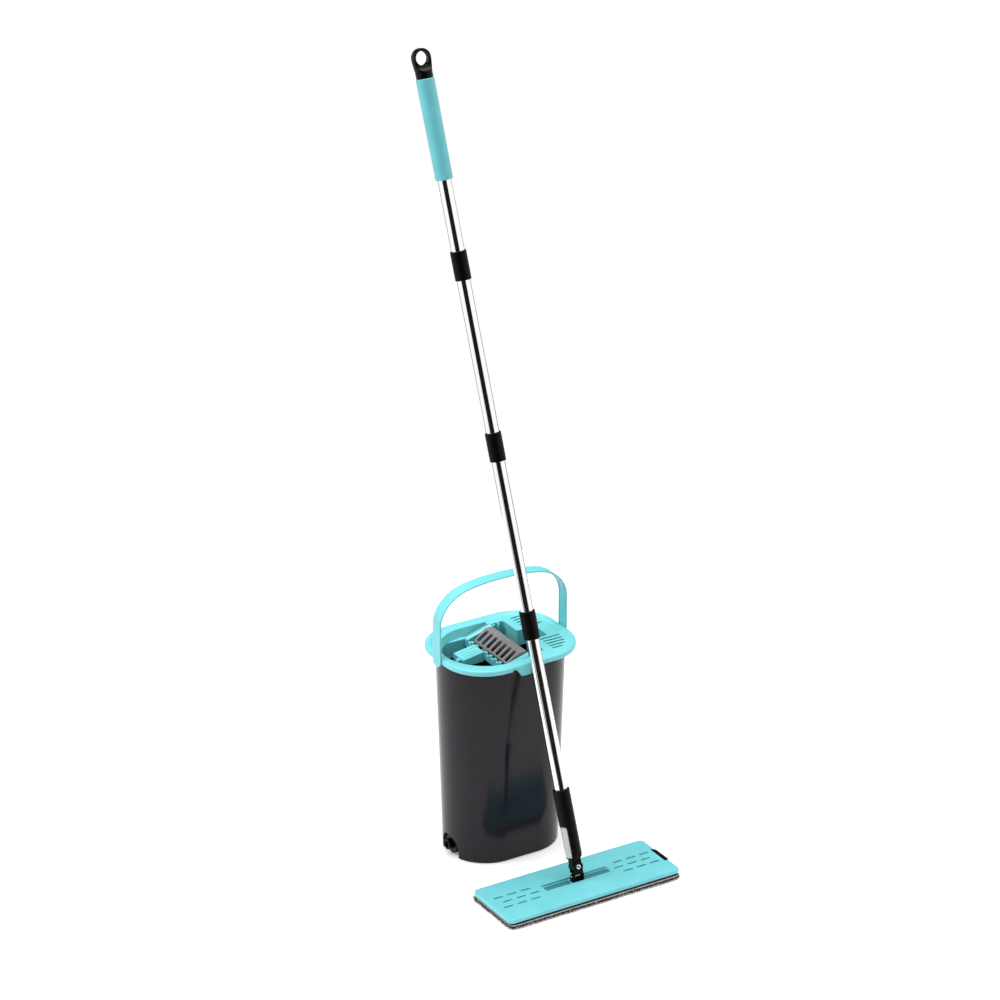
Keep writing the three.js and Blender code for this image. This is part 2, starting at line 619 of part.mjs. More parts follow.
function mopPlate() {
  const outline = roundedRect(PLATE.halfLength, PLATE.halfWidth, PLATE.corner);
  let plate = prismZ(outline, PLATE.bottom, PLATE.top, 6);
  plate = plate.subtract(sunk(LAND.left, LAND.right, LAND.front, LAND.back, LAND.depth, LAND.corner));
  const { inner, halfWidth, depth, corner } = POCKET;
  plate = plate.subtract(sunk(POCKET.left, -inner, -halfWidth, halfWidth, depth, corner));
  plate = plate.subtract(sunk(inner, POCKET.right, -halfWidth, halfWidth, depth, corner));
  const { halfLength: seatLength, halfWidth: seatWidth } = SEAT;
  plate = plate.subtract(sunk(-seatLength, seatLength, -seatWidth, seatWidth, SEAT.depth, SEAT.corner));
  for (const row of VENTS.rows) {
    const shift = row === 0 ? VENTS.shift : 0;
    for (let column = 0; column < 3; column++) {
      for (const side of [-1, 1]) {
        const x = side * (VENTS.first - shift + column * VENTS.pitch);
        const [x0, x1] = [x - VENTS.length / 2, x + VENTS.length / 2];
        const [y0, y1] = [row - VENTS.halfThick, row + VENTS.halfThick];
        plate = plate.subtract(box(x0, x1, y0, y1, PLATE.bottom - PAST, PLATE.top + PAST));
      }
    }
  }
  const tabHalf = TAB.halfWidth + GAP;
  const end = PLATE.halfLength + PAST;
  plate = plate.subtract(box(TAB.left - GAP, end, -tabHalf, tabHalf, PLATE.bottom - PAST, PLATE.top + PAST));
  for (const x of [-SCREWS.x, SCREWS.x]) {
    plate = plate.subtract(rodZ(SCREWS.bore, PLATE.bottom - PAST, PLATE.top, x, 0, 12));
    plate = plate.subtract(rodZ(SCREWS.headBore, PLATE.bottom - PAST, SCREWS.headTop + GAP, x, 0, 16));
  }
  return plate;
}

function mopPad() {
  return prismZ(roundedRect(PAD.halfLength, PAD.halfWidth, PAD.corner), 0, PAD.top, 6);
}

function hookStrip(side) {
  const y = side * STRIP.y;
  const { halfLength, halfWidth, bottom, top } = STRIP;
  return box(-halfLength, halfLength, y - halfWidth, y + halfWidth, bottom, top);
}

function padTab() {
  return box(TAB.left, TAB.right, -TAB.halfWidth, TAB.halfWidth, TAB.bottom, TAB.top);
}

function hingeBracket() {
  const { halfLength, halfWidth, top, earInner, earRadius } = BRACKET;
  const bottom = PLATE.top - SEAT.depth + GAP;
  let bracket = box(-halfLength, halfLength, -halfWidth, halfWidth, bottom, top);
  for (const side of [-1, 1]) {
    const [x0, x1] = span(side, earInner, halfLength);
    const ear = box(x0, x1, -earRadius, earRadius, bottom, PIN.z);
    bracket = union([bracket, ear, rodX(earRadius, x0, x1, 0, PIN.z)]);
    bracket = bracket.subtract(rodZ(SCREWS.bore, bottom - PAST, top + PAST, side * SCREWS.x, 0, 12));
  }
  return bracket.subtract(rodX(PIN.bore, -halfLength - PAST, halfLength + PAST, 0, PIN.z, 16));
}

function bracketScrew(side) {
  const x = side * SCREWS.x;
  const head = rodZ(SCREWS.head, PLATE.bottom + GAP, SCREWS.headTop, x, 0, 16);
  return head.add(rodZ(SCREWS.shaft, SCREWS.headTop - PAST, SCREWS.top, x, 0, 12));
}

function tiltPin() {
  return rodX(PIN.radius, -PIN.reach, PIN.reach, 0, 0, 16);
}

// ---- Yoke, in a frame whose origin is the tilt pin and whose Z is the yoke's own axis --------------

function swivelYoke() {
  const { pivot, halfLength, foot, cheekInner, cheekOuter, cheek } = YOKE;
  const bridge = box(-halfLength, halfLength, -cheekOuter, cheekOuter, BRIDGE.bottom, BRIDGE.top);
  const neck = box(-halfLength, halfLength, -foot, foot, 0, BRIDGE.top);
  let yoke = union([rodX(foot, -halfLength, halfLength, 0, 0), neck, bridge]);
  for (const side of [-1, 1]) {
    const [y0, y1] = span(side, cheekInner, cheekOuter);
    const web = box(-halfLength, halfLength, y0, y1, BRIDGE.webBottom, pivot);
    yoke = union([yoke, web, rodY(cheek, y0, y1, 0, pivot)]);
  }
  const eyeHalf = halfLength - YOKE_EYE.wall;
  const window = box(-eyeHalf, eyeHalf, -foot - PAST, 0, -PIN.bore, PIN.bore);
  yoke = yoke.subtract(window).subtract(rodX(PIN.bore, -halfLength - PAST, halfLength + PAST, 0, 0, 16));
  return yoke.subtract(rodY(SWING.bore, -cheekOuter - PAST, cheekOuter + PAST, 0, pivot, 16));
}

function swingScrew() {
  const face = -YOKE.cheekOuter - GAP;
  const head = rodY(SWING.head, face - SWING.headThick, face, 0, YOKE.pivot);
  return head.add(rodY(SWING.shaft, face - PAST, YOKE.cheekOuter + SWING.nutThick, 0, YOKE.pivot, 16));
}

function swingNut() {
  const face = YOKE.cheekOuter + GAP;
  const nut = rodY(SWING.nut, face, face + SWING.nutThick, 0, YOKE.pivot, 6);
  return nut.subtract(rodY(SWING.bore, face - PAST, face + SWING.nutThick + PAST, 0, YOKE.pivot, 16));
}

// ---- Pole, in a frame whose origin is the swing screw and whose Z is the pole's axis ---------------

function poleSocket() {
  const { radius, bottom, top, floor, coreBore } = SOCKET;
  const tongue = TONGUE.halfThick;
  const tongueRadius = TONGUE.radius;
  const split = CORE.top + GAP;
  const tongueBlock = box(-tongueRadius, tongueRadius, -tongue, tongue, 0, bottom + PAST);
  let socket = union([rodZ(radius, bottom, top), tongueBlock, rodY(tongueRadius, -tongue, tongue, 0, 0)]);
  socket = socket.subtract(rodZ(coreBore, floor, split));
  socket = socket.subtract(rodZ(TUBE.radius + GAP, split - PAST, top + PAST));
  socket = socket.subtract(box(-radius - PAST, WINDOW.x, -radius, radius, floor, WINDOW.top));
  return socket.subtract(rodY(SWING.bore, -tongue - PAST, tongue + PAST, 0, 0, 16));
}

function poleTube(index) {
  const start = TUBE.starts[index] + GAP;
  const end = (TUBE.starts[index + 1] ?? TUBE.end) - GAP;
  return ringZ(TUBE.radius, TUBE.radius - TUBE.wall, start, end);
}

function poleCollar(index) {
  const centre = TUBE.starts[index + 1];
  const half = COLLAR.length / 2;
  return ringZ(COLLAR.radius, TUBE.radius + GAP, centre - half, centre + half);
}

function threadInsert(index) {
  const centre = TUBE.starts[index + 1];
  return rodZ(INSERT.radius, centre - INSERT.halfLength, centre + INSERT.halfLength);
}

function grip() {
  const { bottom, top, radius, topRadius, lip } = GRIP;
  const sleeve = rodZ(radius, bottom + lip, top, 0, 0, 32, topRadius);
  const mouth = rodZ(radius - lip, bottom, bottom + lip, 0, 0, 32, radius);
  return sleeve.add(mouth).subtract(rodZ(TUBE.radius + GAP, bottom - PAST, top + PAST));
}

function hangCap() {
  const { bottom, base, shoulder, ring, hole, centre, halfThick } = HANG;
  const { pull, taper, join } = NECK;
  const blend = new THREE.Shape();
  blend.moveTo(-base, bottom);
  blend.lineTo(base, bottom);
  blend.lineTo(base, shoulder - pull);
  blend.quadraticCurveTo(base, shoulder + pull, ring, centre - join);
  blend.absarc(0, centre, ring, 0, Math.PI);
  blend.quadraticCurveTo(-base, shoulder + pull, -base, shoulder - pull);
  const plan = prismY(blend, -base, base, 10);
  const top = centre + ring + PAST;
  const profile = polygon([
    [-base, bottom],
    [base, bottom],
    [base, shoulder - taper],
    [halfThick, centre],
    [halfThick, top],
    [-halfThick, top],
    [-halfThick, centre],
    [-base, shoulder - taper],
  ]);
  const flat = box(-ring, ring, -halfThick, halfThick, shoulder - PAST, centre + ring);
  const neck = rodZ(base, shoulder - PAST, centre, 0, 0, 24, ring);
  const stock = union([rodZ(base, bottom, shoulder), flat, neck]);
  const outer = plan.intersect(prismX(profile, -ring - PAST, ring + PAST)).intersect(stock);
  const cut = rodY(hole, -base - PAST, base + PAST, 0, centre, 28);
  return outer.subtract(cut).add(rodZ(PLUG.radius, bottom - PLUG.depth, bottom + PAST));
}

// ---- Assembly ------------------------------------------------------------------------------------

const bucket = new THREE.Group();
place(bucket, "bucket_body", bucketBody(), CHARCOAL);
place(bucket, "drain_gasket", drainGasket(), RUBBER);
place(bucket, "drain_plug", drainPlug(), BLACK);
place(bucket, "lid", lid(), TURQUOISE);
place(bucket, "wringer_comb", wringerComb(), COMB_GREY);
place(bucket, "spring_housing", springHousing(), TURQUOISE);
place(bucket, "comb_spring", combSpring(), STEEL);
place(bucket, "bail", bail(), TURQUOISE);

const head = new THREE.Group();
head.position.set(HEAD.x, HEAD.y, 0);
place(head, "mop_plate", mopPlate(), TURQUOISE);
place(head, "mop_pad", mopPad(), MICROFIBRE);
place(head, "hook_strip_front", hookStrip(-1), BLACK);
place(head, "hook_strip_rear", hookStrip(1), BLACK);
place(head, "pad_tab", padTab(), BLACK);
place(head, "hinge_bracket", hingeBracket(), BLACK);
place(head, "bracket_screw_left", bracketScrew(-1), STEEL);
place(head, "bracket_screw_right", bracketScrew(1), STEEL);

const yoke = new THREE.Group();
yoke.position.set(0, 0, PIN.z);
yoke.rotation.x = -LEAN;
place(yoke, "tilt_pin", tiltPin(), CHROME);
place(yoke, "swivel_yoke", swivelYoke(), BLACK);
place(yoke, "swing_screw", swingScrew(), CHROME);
place(yoke, "swing_nut", swingNut(), STEEL);
head.add(yoke);

const pole = new THREE.Group();
pole.position.set(0, 0, YOKE.pivot);
pole.rotation.y = -SWING_REST;
place(pole, "pole_socket", poleSocket(), BLACK);
place(pole, "socket_core", ringZ(CORE.radius, CORE.inner, CORE.bottom, CORE.top), PALE_GREY);
TUBE.starts.forEach((_, index) => place(pole, `pole_tube_${index + 1}`, poleTube(index), CHROME));
for (let index = 0; index < TUBE.starts.length - 1; index++) {
  place(pole, `pole_collar_${index + 1}`, poleCollar(index), BLACK);
  place(pole, `thread_insert_${index + 1}`, threadInsert(index), BLACK);
}
place(pole, "grip", grip(), TURQUOISE);
place(pole, "hang_cap", hangCap(), BLACK);
yoke.add(pole);

const flatMop = new THREE.Group();
flatMop.add(bucket, head);

export default flatMop;
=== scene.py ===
# Flat mop with its squeeze bucket: the fine surfaces, materials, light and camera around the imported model.
# Shapes are built in millimetres, in a frame of their body, and then placed in the model's frame.
import json
import math
import random

import bpy
from mathutils import Matrix, Vector, noise

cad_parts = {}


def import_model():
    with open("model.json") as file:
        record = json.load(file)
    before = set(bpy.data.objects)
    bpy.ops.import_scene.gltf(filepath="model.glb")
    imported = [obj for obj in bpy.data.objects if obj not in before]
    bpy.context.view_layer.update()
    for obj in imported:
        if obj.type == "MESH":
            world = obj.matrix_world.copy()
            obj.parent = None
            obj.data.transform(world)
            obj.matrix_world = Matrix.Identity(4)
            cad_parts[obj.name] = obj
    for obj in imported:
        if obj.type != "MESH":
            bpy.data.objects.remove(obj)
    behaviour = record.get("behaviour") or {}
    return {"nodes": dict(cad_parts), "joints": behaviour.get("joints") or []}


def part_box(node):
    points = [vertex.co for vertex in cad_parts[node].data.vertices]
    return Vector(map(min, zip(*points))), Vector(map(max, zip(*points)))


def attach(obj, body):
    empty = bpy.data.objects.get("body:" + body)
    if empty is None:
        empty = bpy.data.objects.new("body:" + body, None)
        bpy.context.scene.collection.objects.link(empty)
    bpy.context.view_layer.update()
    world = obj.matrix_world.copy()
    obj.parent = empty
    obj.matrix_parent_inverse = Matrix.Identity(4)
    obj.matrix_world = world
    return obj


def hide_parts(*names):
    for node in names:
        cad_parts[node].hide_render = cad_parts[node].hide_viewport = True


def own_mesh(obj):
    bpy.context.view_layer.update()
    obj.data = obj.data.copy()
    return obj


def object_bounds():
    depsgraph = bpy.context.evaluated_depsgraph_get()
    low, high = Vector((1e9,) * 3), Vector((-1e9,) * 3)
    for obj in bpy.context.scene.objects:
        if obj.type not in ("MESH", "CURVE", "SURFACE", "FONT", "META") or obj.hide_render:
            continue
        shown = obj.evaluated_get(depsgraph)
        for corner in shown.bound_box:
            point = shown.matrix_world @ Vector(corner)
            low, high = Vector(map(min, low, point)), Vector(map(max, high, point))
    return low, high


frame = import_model()
CAD_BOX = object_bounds()

MM = 0.001
JOINTS = {joint["name"]: joint for joint in frame["joints"]}
QUARTER = math.pi / 2
# Vertices closer than this in millimetres are one, and faces within this angle are level.
WELD_GAP = 0.002
LEVEL_DEGREES = 0.4
# How far a cutting tool, or a piece that is joined on, reaches past a face.
PAST = 1
# How far two pieces of one solid overlap, and the gap that keeps two level faces apart.
OVERLAP = 0.5
TOUCH = 0.01
# The corners of a rectangle, anticlockwise.
CORNERS = ((1, 1), (-1, 1), (-1, -1), (1, -1))


# ---- Frames --------------------------------------------------------------------------------------


def middle(node):
    low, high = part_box(node)
    return (low + high) / 2


def local_frame(origin, x_axis, y_axis, z_axis):
    """A frame in millimetres as a matrix into the model's frame in metres."""
    turn = Matrix((x_axis, y_axis, z_axis)).transposed().to_4x4()
    return Matrix.Translation(origin) @ turn @ Matrix.Scale(MM, 4)


TILT_PIN = Vector(JOINTS["head_tilt"]["pos_m"])
SWING_SCREW = Vector(JOINTS["pole_swing"]["pos_m"])
TILT_AXIS = Vector(JOINTS["head_tilt"]["axis"]).normalized()
SWING_AXIS = Vector(JOINTS["pole_swing"]["axis"]).normalized()
POLE_AXIS = (middle("pole_tube_4") - middle("pole_tube_1")).normalized()

BUCKET = Matrix.Scale(MM, 4)
HEAD = Matrix.Translation((TILT_PIN.x, TILT_PIN.y, 0)) @ Matrix.Scale(MM, 4)
YOKE = local_frame(TILT_PIN, TILT_AXIS, SWING_AXIS, TILT_AXIS.cross(SWING_AXIS))
POLE = local_frame(SWING_SCREW, SWING_AXIS.cross(POLE_AXIS), SWING_AXIS, POLE_AXIS)


# ---- Mesh building -------------------------------------------------------------------------------


def solid(vertices, faces, name="part"):
    mesh = bpy.data.meshes.new(name)
    mesh.from_pydata([tuple(v) for v in vertices], [], faces)
    mesh.update()
    obj = bpy.data.objects.new(name, mesh)
    bpy.context.scene.collection.objects.link(obj)
    return obj


def band(low, high, count):
    """The faces between two rings of points, numbered from low and from high."""
    faces = []
    for i in range(count):
        j = (i + 1) % count
        faces.append((low + i, low + j, high + j, high + i))
    return faces


def loft(rings):
    """A closed solid through rings of equal numbers of points, capped at both ends."""
    count = len(rings[0])
    last = (len(rings) - 1) * count
    faces = [tuple(reversed(range(count)))]
    for low in range(0, last, count):
        faces += band(low, low + count, count)
    faces.append(tuple(range(last, last + count)))
    return solid([point for ring in rings for point in ring], faces)


def hoop(rings):
    """A closed solid through rings whose last one joins the first."""
    count = len(rings[0])
    total = len(rings) * count
    faces = []
    for low in range(0, total, count):
        faces += band(low, (low + count) % total, count)
    return solid([point for ring in rings for point in ring], faces)


def prism(points, low, high, axis="z"):
    """An anticlockwise outline extruded along an axis: (x, y) along z, (x, z) along y or (y, z) along x."""
    if axis == "z":
        rings = [[(a, b, level) for a, b in points] for level in (low, high)]
    elif axis == "y":
        rings = [[(a, level, b) for a, b in points] for level in (high, low)]
    else:
        rings = [[(level, a, b) for a, b in points] for level in (low, high)]
    return loft(rings)


def block(x0, x1, y0, y1, z0, z1):
    return prism([(x0, y0), (x1, y0), (x1, y1), (x0, y1)], z0, z1)


def turned(profile, axis="z", centre=(0, 0, 0), sides=64):
    """A solid of revolution from (radius, station) pairs, closed on the axis or on itself."""
    hollow = profile[0][0] > 0
    rings = []
    for radius, station in profile:
        ring = []
        for i in range(sides):
            angle = 2 * math.pi * i / sides
            a, b = max(radius, 0.001) * math.cos(angle), max(radius, 0.001) * math.sin(angle)
            local = {"z": (a, b, station), "x": (station, a, b), "y": (b, station, a)}[axis]
            ring.append(tuple(local[k] + centre[k] for k in range(3)))
        rings.append(ring)
    return hoop(rings) if hollow else loft(rings)


def edge_angles():
    steps = 4
    return [QUARTER * i / steps for i in range(steps + 1)]


def low_edge(radius, low, edge):
    """Points that round off a bar's lower edge, from its end face to its side."""
    reach = radius - edge
    return [(reach + edge * math.sin(a), low + edge - edge * math.cos(a)) for a in edge_angles()]


def high_edge(radius, high, edge):
    """Points that round off a bar's upper edge, from its side to its end face."""
    reach = radius - edge
    return [(reach + edge * math.cos(a), high - edge + edge * math.sin(a)) for a in edge_angles()]


def rod(radius, low, high, axis="z", centre=(0, 0, 0), sides=48, edge=0.0):
    """A round bar, with its end edges rounded off by edge."""
    if edge:
        side = low_edge(radius, low, edge) + high_edge(radius, high, edge)
    else:
        side = [(radius, low), (radius, high)]
    return turned([(0, low), *side, (0, high)], axis, centre, sides)


def sleeve(outer, inner, low, high, edge=0.5, axis="z", centre=(0, 0, 0), sides=64, grooves=()):
    """A tube with rounded ends. Grooves are (station, half width, depth) in its outside."""
    inner_edge = edge / 2
    profile = [(inner + inner_edge, low), (outer - edge, low), *low_edge(outer, low, edge)[1:]]
    for station, half, depth in sorted(grooves):
        profile.append((outer, station - half))
        profile.append((outer - depth, station - half * 0.5))
        profile.append((outer - depth, station + half * 0.5))
        profile.append((outer, station + half))
    profile += high_edge(outer, high, edge)
    profile += [(inner + inner_edge, high), (inner, high - inner_edge), (inner, low + inner_edge)]
    return turned(profile, axis, centre, sides)


def rounded(corners, steps=6):
    """An outline whose corners, given anticlockwise as (x, y, radius), are rounded by arcs."""
    points = []
    count = len(corners)
    for i, (x, y, radius) in enumerate(corners):
        here = Vector((x, y))
        if radius <= 0:
            points.append((x, y))
            continue
        before = (Vector(corners[i - 1][:2]) - here).normalized()
        after = (Vector(corners[(i + 1) % count][:2]) - here).normalized()
        half = before.angle(after) / 2
        centre = here + (before + after).normalized() * (radius / math.sin(half))
        start = here + before * (radius / math.tan(half)) - centre
        turn = before.cross(after)
        sweep = (math.pi - 2 * half) * (1 if turn < 0 else -1)
        parts = max(2, round(steps * abs(sweep) / QUARTER))
        for k in range(parts + 1):
            angle = sweep * k / parts
            c, s = math.cos(angle), math.sin(angle)
            point = centre + Vector((start.x * c - start.y * s, start.x * s + start.y * c))
            if not points or (point - Vector(points[-1])).length > 0.02:
                points.append((point.x, point.y))
    if (Vector(points[0]) - Vector(points[-1])).length < 0.02:
        points.pop()
    return points


def round_rectangle(half_x, half_y, radius, steps=6, centre=(0, 0)):
    x, y = centre
    corners = []
    for side_x, side_y in CORNERS:
        corners.append((x + side_x * half_x, y + side_y * half_y, radius))
    return rounded(corners, steps)


def oval(half_x, half_y, corner, z):
    """A level ring round a rectangle with large corners."""
    steps = 24
    ring = []
    for quarter, (side_x, side_y) in enumerate(CORNERS):
        for i in range(steps + 1):
            angle = (quarter + i / steps) * QUARTER
            x = side_x * (half_x - corner) + corner * math.cos(angle)
            y = side_y * (half_y - corner) + corner * math.sin(angle)
            ring.append((x, y, z))
    return ring


def bake(obj):
    """Applies an object's modifiers to its mesh."""
    graph = bpy.context.evaluated_depsgraph_get()
    mesh = bpy.data.meshes.new_from_object(obj.evaluated_get(graph))
    obj.modifiers.clear()
    old = obj.data
    obj.data = mesh
    bpy.data.meshes.remove(old)
    return obj


def combine(base, tools, operation):
    for tool in tools:
        step = base.modifiers.new(operation, "BOOLEAN")
        step.operation = operation
        step.solver = "MANIFOLD"
        step.object = tool
        bake(base)
        bpy.data.objects.remove(tool)
    return base


def join(base, *tools):
    return combine(base, tools, "UNION")


def cut(base, *tools):
    return combine(base, tools, "DIFFERENCE")


def common(base, *tools):
    return combine(base, tools, "INTERSECT")


def soften(obj, width, segments=2, angle=38):
    """Rounds off the sharp edges of a finished solid."""
    round_edges(obj, width, segments, angle, 1).miter_outer = "MITER_ARC"
    return bake(obj)


def round_edges(obj, width, segments, angle, unit):
    """Adds modifiers that weld a mesh, merge its level faces and round its edges, in its own unit."""
    weld = obj.modifiers.new("weld", "WELD")
    weld.merge_threshold = WELD_GAP * unit
    flatten = obj.modifiers.new("flatten", "DECIMATE")
    flatten.decimate_type = "DISSOLVE"
    flatten.angle_limit = math.radians(LEVEL_DEGREES)
    bevel = obj.modifiers.new("bevel", "BEVEL")
    bevel.width = width * unit
    bevel.segments = segments
    bevel.limit_method = "ANGLE"
    bevel.angle_limit = math.radians(angle)
    return bevel


def settle(obj, name, matrix, body, material, nodes, crease=50):
    """Places a finished piece, which then stands for its CAD nodes."""
    obj.name = name
    obj.data.name = name
    obj.data.transform(matrix)
    obj.data.materials.clear()
    obj.data.materials.append(material)
    for polygon in obj.data.polygons:
        polygon.use_smooth = True
        polygon.material_index = 0
    obj.data.set_sharp_from_angle(angle=math.radians(crease))
    weights = obj.modifiers.new("normals", "WEIGHTED_NORMAL")
    weights.keep_sharp = True
    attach(obj, body)
    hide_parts(*nodes)
    return obj


def polish(node, material, width=0.0):
    """Gives a CAD node its material and, with a width in millimetres, rounded edges."""
    obj = frame["nodes"][node]
    if not obj.material_slots:
        obj.data.materials.append(material)
    for slot in obj.material_slots:
        slot.link = "OBJECT"
        slot.material = material
    if width:
        round_edges(obj, width, 2, 38, MM)
        obj.modifiers.new("normals", "WEIGHTED_NORMAL")


# ---- Materials -----------------------------------------------------------------------------------


class Finish:
    """A principled material whose colour, roughness and relief come from nodes at their real scale."""

    def __init__(self, name, roughness, metallic=0.0, specular=0.5):
        self.material = bpy.data.materials.new(name)
        self.material.use_nodes = True
        self.tree = self.material.node_tree
        self.shader = self.tree.nodes["Principled BSDF"]
        self.shader.inputs["Roughness"].default_value = roughness
        self.shader.inputs["Metallic"].default_value = metallic
        self.shader.inputs["Specular IOR Level"].default_value = specular
        self.coordinates = self.node("ShaderNodeTexCoord").outputs["Object"]
        self.relief = None

    def node(self, kind, **values):
        made = self.tree.nodes.new(kind)
        for key, value in values.items():
            setattr(made, key, value)
        return made

    def link(self, output, target):
        self.tree.links.new(output, target)

    def noise(self, size_mm, detail=2.0, stretch=(1, 1, 1)):
        """Noise whose lumps are about size_mm across."""
        mapping = self.node("ShaderNodeMapping")
        mapping.inputs["Scale"].default_value = stretch
        self.link(self.coordinates, mapping.inputs["Vector"])
        texture = self.node("ShaderNodeTexNoise")
        texture.inputs["Scale"].default_value = 1 / (size_mm * MM)
        texture.inputs["Detail"].default_value = detail
        self.link(mapping.outputs["Vector"], texture.inputs["Vector"])
        return texture.outputs["Fac"]

    def ramp(self, value, stops):
        made = self.node("ShaderNodeValToRGB")
        elements = made.color_ramp.elements
        while len(elements) < len(stops):
            elements.new(0.5)
        for element, (place, colour) in zip(elements, stops):
            element.position = place
            element.color = (*colour, 1)
        self.link(value, made.inputs["Fac"])
        return made.outputs["Color"]

    def colour(self, value, stops):
        self.link(self.ramp(value, stops), self.shader.inputs["Base Color"])

    def roughness(self, value, low, high):
        spread = self.node("ShaderNodeMapRange")
        spread.inputs["From Min"].default_value = 0.3
        spread.inputs["From Max"].default_value = 0.7
        spread.inputs["To Min"].default_value = low
        spread.inputs["To Max"].default_value = high
        self.link(value, spread.inputs["Value"])
        self.link(spread.outputs["Result"], self.shader.inputs["Roughness"])

    def bump(self, value, height_mm, strength=1.0):
        made = self.node("ShaderNodeBump")
        made.inputs["Distance"].default_value = height_mm * MM
        made.inputs["Strength"].default_value = strength
        self.link(value, made.inputs["Height"])
        if self.relief is not None:
            self.link(self.relief, made.inputs["Normal"])
        self.relief = made.outputs["Normal"]
        self.link(self.relief, self.shader.inputs["Normal"])


def tones(colour, spread):
    """Two shades a little below and above a colour, for a ramp."""
    dark = tuple(c * (1 - spread) for c in colour)
    light = tuple(min(1, c * (1 + spread)) for c in colour)
    return [(0.3, dark), (0.7, light)]


def plastic(name, colour, rough, specular=0.5, spread=0.04, grain=0.35, depth=0.012):
    """Moulded plastic: faint flow variation in colour, uneven gloss and a fine moulded grain."""
    finish = Finish(name, rough, specular=specular)
    finish.colour(finish.noise(34, 3), tones(colour, spread))
    finish.roughness(finish.noise(9, 4), rough * 0.86, rough * 1.16)
    finish.bump(finish.noise(18, 2), 0.05, 0.35)
    finish.bump(finish.noise(grain, 2), depth, 0.6)
    return finish.material


TURQUOISE = plastic("turquoise_plastic", (0.185, 0.640, 0.678), 0.34, specular=0.4)
PLATE_TURQUOISE = plastic("plate_turquoise_plastic", (0.160, 0.565, 0.615), 0.34, specular=0.4)
# Painted shade: a dark teal for the fills inside the plate's pockets, groove and slots, where the recesses
# are in shade.
RECESS_PAINTED_SHADE = plastic("recess_painted_shade", (0.042, 0.215, 0.245), 0.4, specular=0.3)
CHARCOAL = (0.0128, 0.0098, 0.0142)
BODY_PLASTIC = plastic("charcoal_plastic", CHARCOAL, 0.16, specular=0.21, spread=0.08, depth=0.004)
BLACK = plastic("black_plastic", (0.0024, 0.0022, 0.0022), 0.3, specular=0.09, spread=0.1)
GLOSS_BLACK = plastic("gloss_black_plastic", (0.0024, 0.0024, 0.0024), 0.2, specular=0.13, spread=0.1)
COMB_GREY = plastic("comb_grey_plastic", (0.225, 0.207, 0.215), 0.4, specular=0.4, spread=0.06)
PALE = plastic("pale_grey_plastic", (0.52, 0.51, 0.51), 0.25, spread=0.03)
RUBBER_BLACK = (0.012, 0.012, 0.012)
RUBBER = plastic("black_rubber", RUBBER_BLACK, 0.7, specular=0.3, spread=0.1, grain=0.5, depth=0.03)


def grip_material():
    """The grip's skin: a slightly glossier turquoise with a coarser grain than the moulded pieces."""
    finish = Finish("grip_skin", 0.32, specular=0.5)
    finish.colour(finish.noise(30, 3), tones((0.155, 0.575, 0.640), 0.05))
    finish.roughness(finish.noise(6, 4), 0.27, 0.37)
    finish.bump(finish.noise(0.8, 2), 0.03, 0.6)
    return finish.material


def chrome_material():
    """Polished plated tube, with faint drawing lines along it and small clouds in its polish."""
    finish = Finish("chrome_tube", 0.07, metallic=1.0)
    finish.colour(finish.noise(60, 3), tones((0.90, 0.895, 0.89), 0.015))
    finish.roughness(finish.noise(14, 4), 0.045, 0.11)
    finish.bump(finish.noise(0.6, 2, stretch=(1, 1, 0.02)), 0.004, 0.35)
    return finish.material


def steel_material():
    """Bright zinc-plated steel with an uneven gloss."""
    finish = Finish("bright_steel", 0.24, metallic=1.0)
    finish.colour(finish.noise(5, 3), tones((0.78, 0.78, 0.79), 0.04))
    finish.roughness(finish.noise(1.5, 4), 0.18, 0.32)
    finish.bump(finish.noise(0.25, 2), 0.01, 0.5)
    return finish.material


# The pile's yarns from black to pale grey, with the share of the speckle where each one starts.
YARNS = [
    (0.42, (0.006, 0.005, 0.006)),
    (0.53, (0.03, 0.027, 0.028)),
    (0.60, (0.20, 0.185, 0.18)),
    (0.68, (0.55, 0.51, 0.50)),
]


def pile_material():
    """Twisted microfibre pile in mixed light, mid and dark grey yarns."""
    finish = Finish("microfibre_pile", 0.92, specular=0.15)
    finish.shader.inputs["Sheen Weight"].default_value = 0.35
    finish.colour(finish.noise(2.4, 3), YARNS)
    finish.bump(finish.noise(0.5, 3, stretch=(1, 1, 0.4)), 0.12, 0.8)
    return finish.material


def weave_material(name, colour, thread_mm, rough=0.9):
    """A plain woven cloth: two crossed sets of thread waves over a faint blotch of colour."""
    finish = Finish(name, rough, specular=0.2)
    finish.shader.inputs["Sheen Weight"].default_value = 0.25
    finish.colour(finish.noise(4, 4), tones(colour, 0.22))
    for direction in ("X", "Y"):
        wave = finish.node("ShaderNodeTexWave", wave_type="BANDS", bands_direction=direction)
        wave.inputs["Scale"].default_value = 0.314 / (thread_mm * MM)
        wave.inputs["Distortion"].default_value = 0.6
        finish.link(finish.coordinates, wave.inputs["Vector"])
        finish.bump(wave.outputs["Fac"], 0.12, 0.6)
    return finish.material


GRIP_SKIN = grip_material()
CHROME = chrome_material()
STEEL = steel_material()
PILE = pile_material()
BACKING = weave_material("pad_backing_cloth", (0.55, 0.49, 0.49), 0.7)
BINDING = weave_material("pad_binding_cloth", (0.006, 0.006, 0.007), 0.6, 0.8)
HOOK_TAPE = weave_material("hook_tape", (0.02, 0.02, 0.021), 0.9, 0.8)


# ---- Bucket body and drain -----------------------------------------------------------------------

BODY_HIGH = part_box("bucket_body")[1] / MM
TOP = {"half_x": BODY_HIGH.x, "half_y": BODY_HIGH.y, "corner": 83, "z": BODY_HIGH.z}
FOOT = {"half_x": 102, "half_y": 72.5, "corner": 72, "round": 2.5}
BODY_WALL = 2.5
BODY_FLOOR = 3
BODY_BEND = 7
